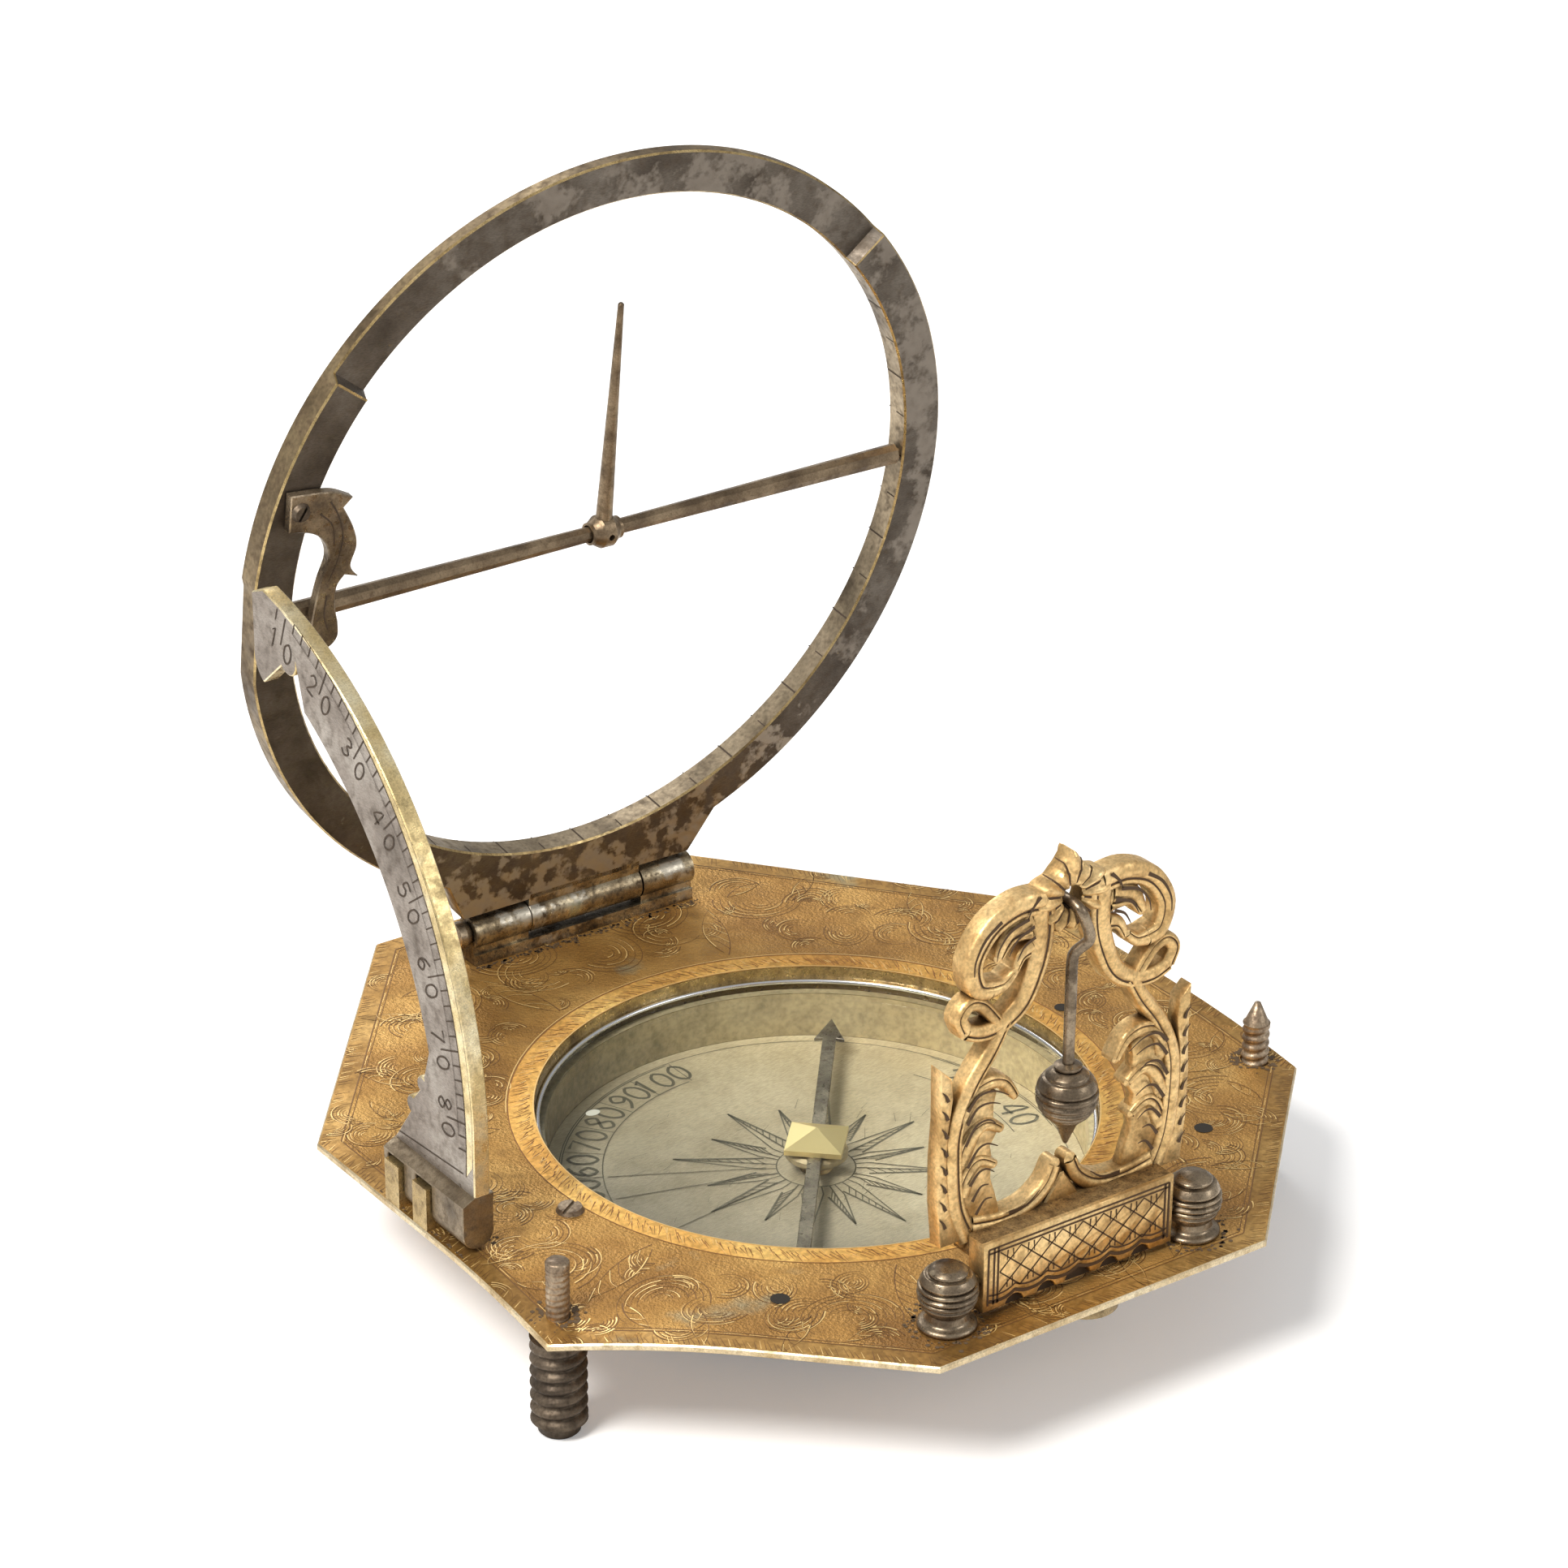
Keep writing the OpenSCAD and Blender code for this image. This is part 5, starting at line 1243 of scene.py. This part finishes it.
# Flutes of the crest, fanning out from the hole and over its edge
for k in range(CREST_RIDGES):
    a = 180 / CREST_RIDGES + 360 / CREST_RIDGES * k
    reach = float(crest_reach(a)) * 0.95
    flute = [(between(HOOK_HOLE_R, reach, q), np.interp(q, (0.12, 0.6, 0.9, 1), (-0.16, -0.05, -0.21, -0.33)),
              0.24 - 0.14 * q) for q in np.linspace(0.1, 1, 10)]
    flute += [(reach + 0.03, -0.4, 0.12), (reach + 0.03, -SCROLL_T + 0.1, 0.07)]
    scroll_cuts.ladder([[(*(HOOK_HOLE + polar(r, a) + polar(s * wide / 2, a + 90)), z) for s in (-1, 1)]
                        for r, z, wide in flute])
NICK_PITCH, NICKS = 1.22, 8
for s in (1, -1):
    # Nicks of the column's edge
    for k in range(NICKS):
        y = 5.9 + NICK_PITCH * k
        nick = smooth([(s * 9.3, y + 0.75), (s * 9.0, y + 0.4), (s * 8.85, y)], 4)
        scroll_cuts.stroke(nick, 0.05, 0.26, height=0.02)
    for points in VEINS:
        scroll_cuts.stroke(smooth(mirrored(points, s), 5), 0.26, 0.06, height=0.13)
draw("scroll_cuts", scroll_cuts, GROOVE, "stand", where=to_stand, lift=0.03)
peak = [(-1.5, BLOCK_TOP - 0.3), (1.5, BLOCK_TOP - 0.3), (0.15, 6.7), (-0.15, 6.7)]
mesh("stand_peak", prism(peak, back_of(14), -0.1, 0.12), CARVED, "stand", where=to_stand)

# Apron of the stand
SCALLOP_LOW, LOBE = 0.35, 2 * BLOCK_HALF / LOBES


def apron_outline():
    """Lower part of the stand with its scalloped edge and the arch in the middle."""
    pts = [(-BLOCK_HALF, BLOCK_TOP), (-BLOCK_HALF, SCALLOP_LOW)]
    for i in range(1, LOBES):
        r = 1.0 if i == LOBES // 2 else 0.72
        half = math.degrees(math.asin(0.15 / r))
        pts += arc_points((-BLOCK_HALF + i * LOBE, SCALLOP_LOW - 0.15), r, 180 - half, half, 9)
    return pts + [(BLOCK_HALF, SCALLOP_LOW), (BLOCK_HALF, BLOCK_TOP)]


def box_outline(half, bottom, top):
    return [(-half, bottom), (half, bottom), (half, top), (-half, top)]


apron = prism(apron_outline(), -BLOCK_BACK, APRON_FRONT, 0.06)
mesh("apron", apron, CARVED, "stand", where=to_apron, sharp=CARVED_SHARP)
ledge = prism(box_outline(BLOCK_HALF - 0.03, 3.6, BLOCK_TOP + 0.01), -SCROLL_BACK, APRON_FRONT - 0.25, 0.05)
mesh("stand_ledge", ledge, LEDGE, "stand", where=to_apron, sharp=CARVED_SHARP)
# A dark sheet inside the apron: painted shade seen under its scalloped edge and through its arches
apron_shade_sheet = Drawing()
apron_shade_sheet.patch(box_outline(BLOCK_HALF - 0.1, 0.05, 1.3))
draw("apron_shade_sheet", apron_shade_sheet, INK, "stand", where=to_apron, lift=0.2)

# Frame, lattice and scallop lines cut into the apron
apron_cuts = Drawing()
LOW, HIGH, WIDE, CROSSES = 1.45, BLOCK_TOP - 0.40, BLOCK_HALF - 0.35, 8
for x in (-WIDE, -WIDE + 0.42, -WIDE + 0.72, WIDE - 0.30, WIDE):
    apron_cuts.stroke([(x, 0.75), (x, HIGH)], 0.15)
for y in (HIGH, HIGH - 0.30):
    apron_cuts.stroke([(-WIDE, y), (WIDE, y)], 0.13)
left, right = -WIDE + 0.85, WIDE - 0.40
pitch = (right - left) / CROSSES
for k in range(-1, CROSSES):
    ends = np.array([left + pitch * k, left + pitch * (k + 2)])
    for x0, x1 in (ends, ends[::-1]):
        shown = (np.clip((x0, x1), left, right) - x0) / (x1 - x0)
        apron_cuts.stroke([(between(x0, x1, t), between(LOW, HIGH - 0.42, t)) for t in shown], 0.10, 0.08)
for k in range(CROSSES):
    for dx in (-0.2, 0.2):
        x = left + pitch * (k + 0.5)
        apron_cuts.stroke([(x + dx, HIGH - 0.45), (x + dx * 1.2, HIGH - 1.15)], 0.10, 0.04)
        apron_cuts.stroke([(x + dx, LOW + 0.15), (x + dx, LOW + 0.75)], 0.10, 0.04)
for rise, width in ((0.55, 0.22), (0.98, 0.10)):
    apron_cuts.stroke([
        (x, SCALLOP_LOW + rise + 0.34 * (1 - abs(math.sin(math.pi * (x + BLOCK_HALF) / LOBE))) ** 1.3)
        for x in np.linspace(-WIDE + 0.1, WIDE - 0.1, 120)], width)
draw("apron_cuts", apron_cuts, GROOVE, "stand", where=to_apron, lift=APRON_FRONT + 0.02)


# Ball posts
def grooved_ball(r, z, a0, a1, grooves, depth):
    """Profile of a turned ball; each groove has an angle and a width."""
    out = []
    for a in np.linspace(a0, a1, 60):
        x, y = polar(r - sum(depth * max(0.0, 1 - abs(a - g) / w) for g, w in grooves), a)
        out.append((x, z + y))
    return out


post = lathe([
    (0, 0), (1.70, 0), (1.80, 0.08), (1.80, 0.26), (1.62, 0.38), (1.42, 0.44), (1.30, 0.55), (1.28, 0.68),
    *grooved_ball(BALL_R, STAND_Z, -50, 64, ((-22, 5), (-9, 4), (4, 5), (18, 4), (44, 5)), 0.2),
    (0.74, STAND_Z + 1.66), (0.4, STAND_Z + 1.8), (0.0, STAND_Z + BALL_R - 0.02)], 56)
mesh("ball_posts", joined(*[moved(post, s * POST_X, STAND_Y) for s in (-1, 1)]), DARK, "base",
     replaces=["stand_posts"], sharp=TURNED_SHARP)

# Bob and its wire
mid = STAND_Y + (SCROLL_FRONT + SCROLL_BACK) / 2
leg = SCROLL_T / 2 + WIRE_R + 0.2
top = HOOK_HOLE_Z - HOOK_HOLE_R + WIRE_R + 0.05
route = [(0, mid + leg + 0.1, top - 0.9), (0, mid + leg - 0.05, top - 0.25), (0, mid + leg - 0.5, top),
         (0, mid, top), (0, mid - leg + 0.5, top), (0.1, mid - leg - 0.05, top - 0.4),
         (0.6, mid - leg - 0.1, top - 1.6), (0.7, mid - leg, top - 2.4), (0.1, BOB_Y - 0.1, top - 3.2),
         (0, BOB_Y, top - 4), (0, BOB_Y, top - 6), (0, BOB_Y, BOB_Z + 1.6)]
mesh("bob_wire", tube(smooth(route, 8), WIRE_R - 0.005, 16), DARK, "bob", replaces=["bob_hook"])
bob = lathe([
    (0.0, -3.35), (0.14, -3.3), (0.68, -1.95), (0.85, -1.8),
    *grooved_ball(BOB_R, 0.0, -62, 62, ((-46, 4), (-33, 4), (-19, 5), (-4, 5), (12, 4), (42, 4)), 0.16),
    (0.72, 1.70), (0.85, 1.82), (0.85, 1.95), (0.6, 2.08), (0.0, 2.1)], 56)
mesh("bob", moved(bob, 0, BOB_Y, BOB_Z), DARK, "bob", replaces=["plumb_bob"], sharp=TURNED_SHARP)


# Levelling screws
def threaded(z0, z1, r, depth, pitch, rows_per_turn=10):
    """Helical ribs on a rod, fading out at both ends."""
    count, sides = int((z1 - z0) / pitch * rows_per_turn), 40
    rows = []
    for i in range(count + 1):
        z = z0 + (z1 - z0) * i / count
        fade = min(1.0, (z - z0) / (pitch * 0.5), (z1 - z) / (pitch * 0.5))
        row = []
        for k in range(sides):
            rib = 0.5 - 0.5 * math.cos(2 * math.pi * ((z / pitch - k / sides) % 1.0))
            row.append((*polar(r - depth * (1 - rib ** 0.7) * fade, 360 * k / sides), z))
        rows.append(row)
    return skin(rows)


def levelling_screw(side, x, y, r, pointed):
    """Screw with a thick threaded foot under the plate and a stud that passes through it."""
    floor = -TOP_Z
    shoulder = -PLATE_T - FOOT_GAP - 1.2 * droop(x, y)
    toe = lathe([(0.0, floor), (TOE_R - 0.15, floor), (TOE_R, floor + 0.15), (TOE_R, floor + 0.8),
                 (FOOT_R - 0.3, floor + 0.95)], 40)
    barrel = threaded(floor + 0.9, shoulder - 0.4, FOOT_R, 0.30, 0.85)
    neck = lathe([(FOOT_R - 0.4, shoulder - 0.45), (r + 0.15, shoulder), (0.0, shoulder)], 40)
    if pointed:
        stud = threaded(shoulder - 0.1, STUD_H - 0.9, r, 0.16, 0.62, rows_per_turn=8)
        tip = [(r - 0.05, -0.95), (r - 0.12, -0.8), (0.2, 0.55), (0.0, 0.6)]
    else:
        stud = threaded(shoulder - 0.1, STUD_H - 0.5, r, 0.05, 0.42, rows_per_turn=6)
        tip = [(r - 0.02, -0.55), (r, -0.4), (r, -0.12), (r - 0.12, 0), (0.0, 0)]
    tip = lathe([(radius, STUD_H + z) for radius, z in tip], 32)
    mesh(side + "_screw_foot", moved(joined(toe, barrel, neck), x, y), FOOT_METAL, "foot_" + side,
         replaces=["levelling_screw_" + side], sharp=TURNED_SHARP)
    mesh(side + "_screw_stud", moved(joined(stud, tip), x, y), WORN_THREAD, "foot_" + side,
         sharp=TURNED_SHARP)


for side, (x, y, r) in zip(("west", "east", "north"), STUDS):
    levelling_screw(side, x, y, r, pointed=side == "east")

# Stage, lights and camera
FLOOR_HALF = 0.6
floor_look, tree, shader = material("pale floor")
shader.inputs["Base Color"].default_value = (0.86, 0.86, 0.86, 1)
shader.inputs["Roughness"].default_value = 0.8
place = add(tree, "ShaderNodeTexCoord")
away = add(tree, "ShaderNodeVectorMath", operation="LENGTH")
whiter = add(tree, "ShaderNodeMapRange")
for key, value in (("From Min", 0.12), ("From Max", 0.40), ("To Min", 0.22), ("To Max", 1.0)):
    whiter.inputs[key].default_value = value
rays = add(tree, "ShaderNodeLightPath")
glow = add(tree, "ShaderNodeEmission")
both = add(tree, "ShaderNodeAddShader")
tree.links.new(place.outputs["Object"], away.inputs[0])
tree.links.new(away.outputs["Value"], whiter.inputs["Value"])
strength = arithmetic(tree, "MULTIPLY", rays.outputs["Is Camera Ray"], whiter.outputs["Result"])
tree.links.new(strength, glow.inputs["Strength"])
tree.links.new(shader.outputs["BSDF"], both.inputs[0])
tree.links.new(glow.outputs["Emission"], both.inputs[1])
tree.links.new(both.outputs["Shader"], tree.nodes["Material Output"].inputs["Surface"])
floor_data = bpy.data.meshes.new("floor")
floor_corners = [(x * FLOOR_HALF, y * FLOOR_HALF, 0) for x, y in ((-1, -1), (1, -1), (1, 1), (-1, 1))]
floor_data.from_pydata(floor_corners, [], [(0, 1, 2, 3)])
floor_data.materials.append(floor_look)
floor = bpy.data.objects.new("floor", floor_data)
bpy.context.collection.objects.link(floor)

world = bpy.data.worlds.new("studio")
bpy.context.scene.world = world
world.use_nodes = True
tree = world.node_tree
tree.nodes.clear()
soft, seen = [add(tree, "ShaderNodeBackground", Strength=strength, Color=(1, 1, 1, 1)).outputs["Background"]
              for strength in (0.42, 1.0)]
by_ray(tree, "Is Camera Ray", soft, seen, add(tree, "ShaderNodeOutputWorld"))


def area_light(name, place, aim, size, watts, color=(1, 1, 1)):
    data = bpy.data.lights.new(name, "AREA")
    data.shape, data.size, data.energy, data.color = "DISK", size, watts, color
    ob = bpy.data.objects.new(name, data)
    ob.location = place
    ob.rotation_euler = (Vector(aim) - Vector(place)).to_track_quat("-Z", "Y").to_euler()
    bpy.context.collection.objects.link(ob)


area_light("key", (-0.32, -0.06, 0.42), (0, 0, 0.02), 0.20, 3.0, (1.0, 0.97, 0.93))
area_light("fill", (0.30, -0.42, 0.30), (0, 0, 0.02), 0.30, 0.6)
area_light("back", (0.10, 0.45, 0.35), (0, 0, 0.03), 0.25, 0.8)

# Camera matched to the photograph, whose width and focal length are in pixels
PHOTO_WIDTH, FOCAL, SENSOR = 1932, 6000, 36
AZ, EL, ROLL = math.radians(-35.75), math.radians(26.04), math.radians(0.55)
DISTANCE, TARGET = 305.9, Vector((0.99, 5.30 + COMPASS_Y, 20.0 + TOP_Z))
back = Vector((math.sin(AZ) * math.cos(EL), -math.cos(AZ) * math.cos(EL), math.sin(EL)))
right = Vector((math.cos(AZ), math.sin(AZ), 0))
up = back.cross(right)
right, up = (math.cos(ROLL) * right + math.sin(ROLL) * up, -math.sin(ROLL) * right + math.cos(ROLL) * up)
camera_data = bpy.data.cameras.new("camera")
camera_data.sensor_width = SENSOR
camera_data.lens = SENSOR * FOCAL / PHOTO_WIDTH
camera_data.clip_start = 0.01
camera_data.clip_end = 10
camera = bpy.data.objects.new("camera", camera_data)
camera.matrix_world = (Matrix.Translation((TARGET + back * DISTANCE) * MM)
                       @ Matrix((right, up, back)).transposed().to_4x4())
bpy.context.collection.objects.link(camera)
bpy.context.scene.camera = camera
bpy.context.scene.view_settings.view_transform = "Standard"
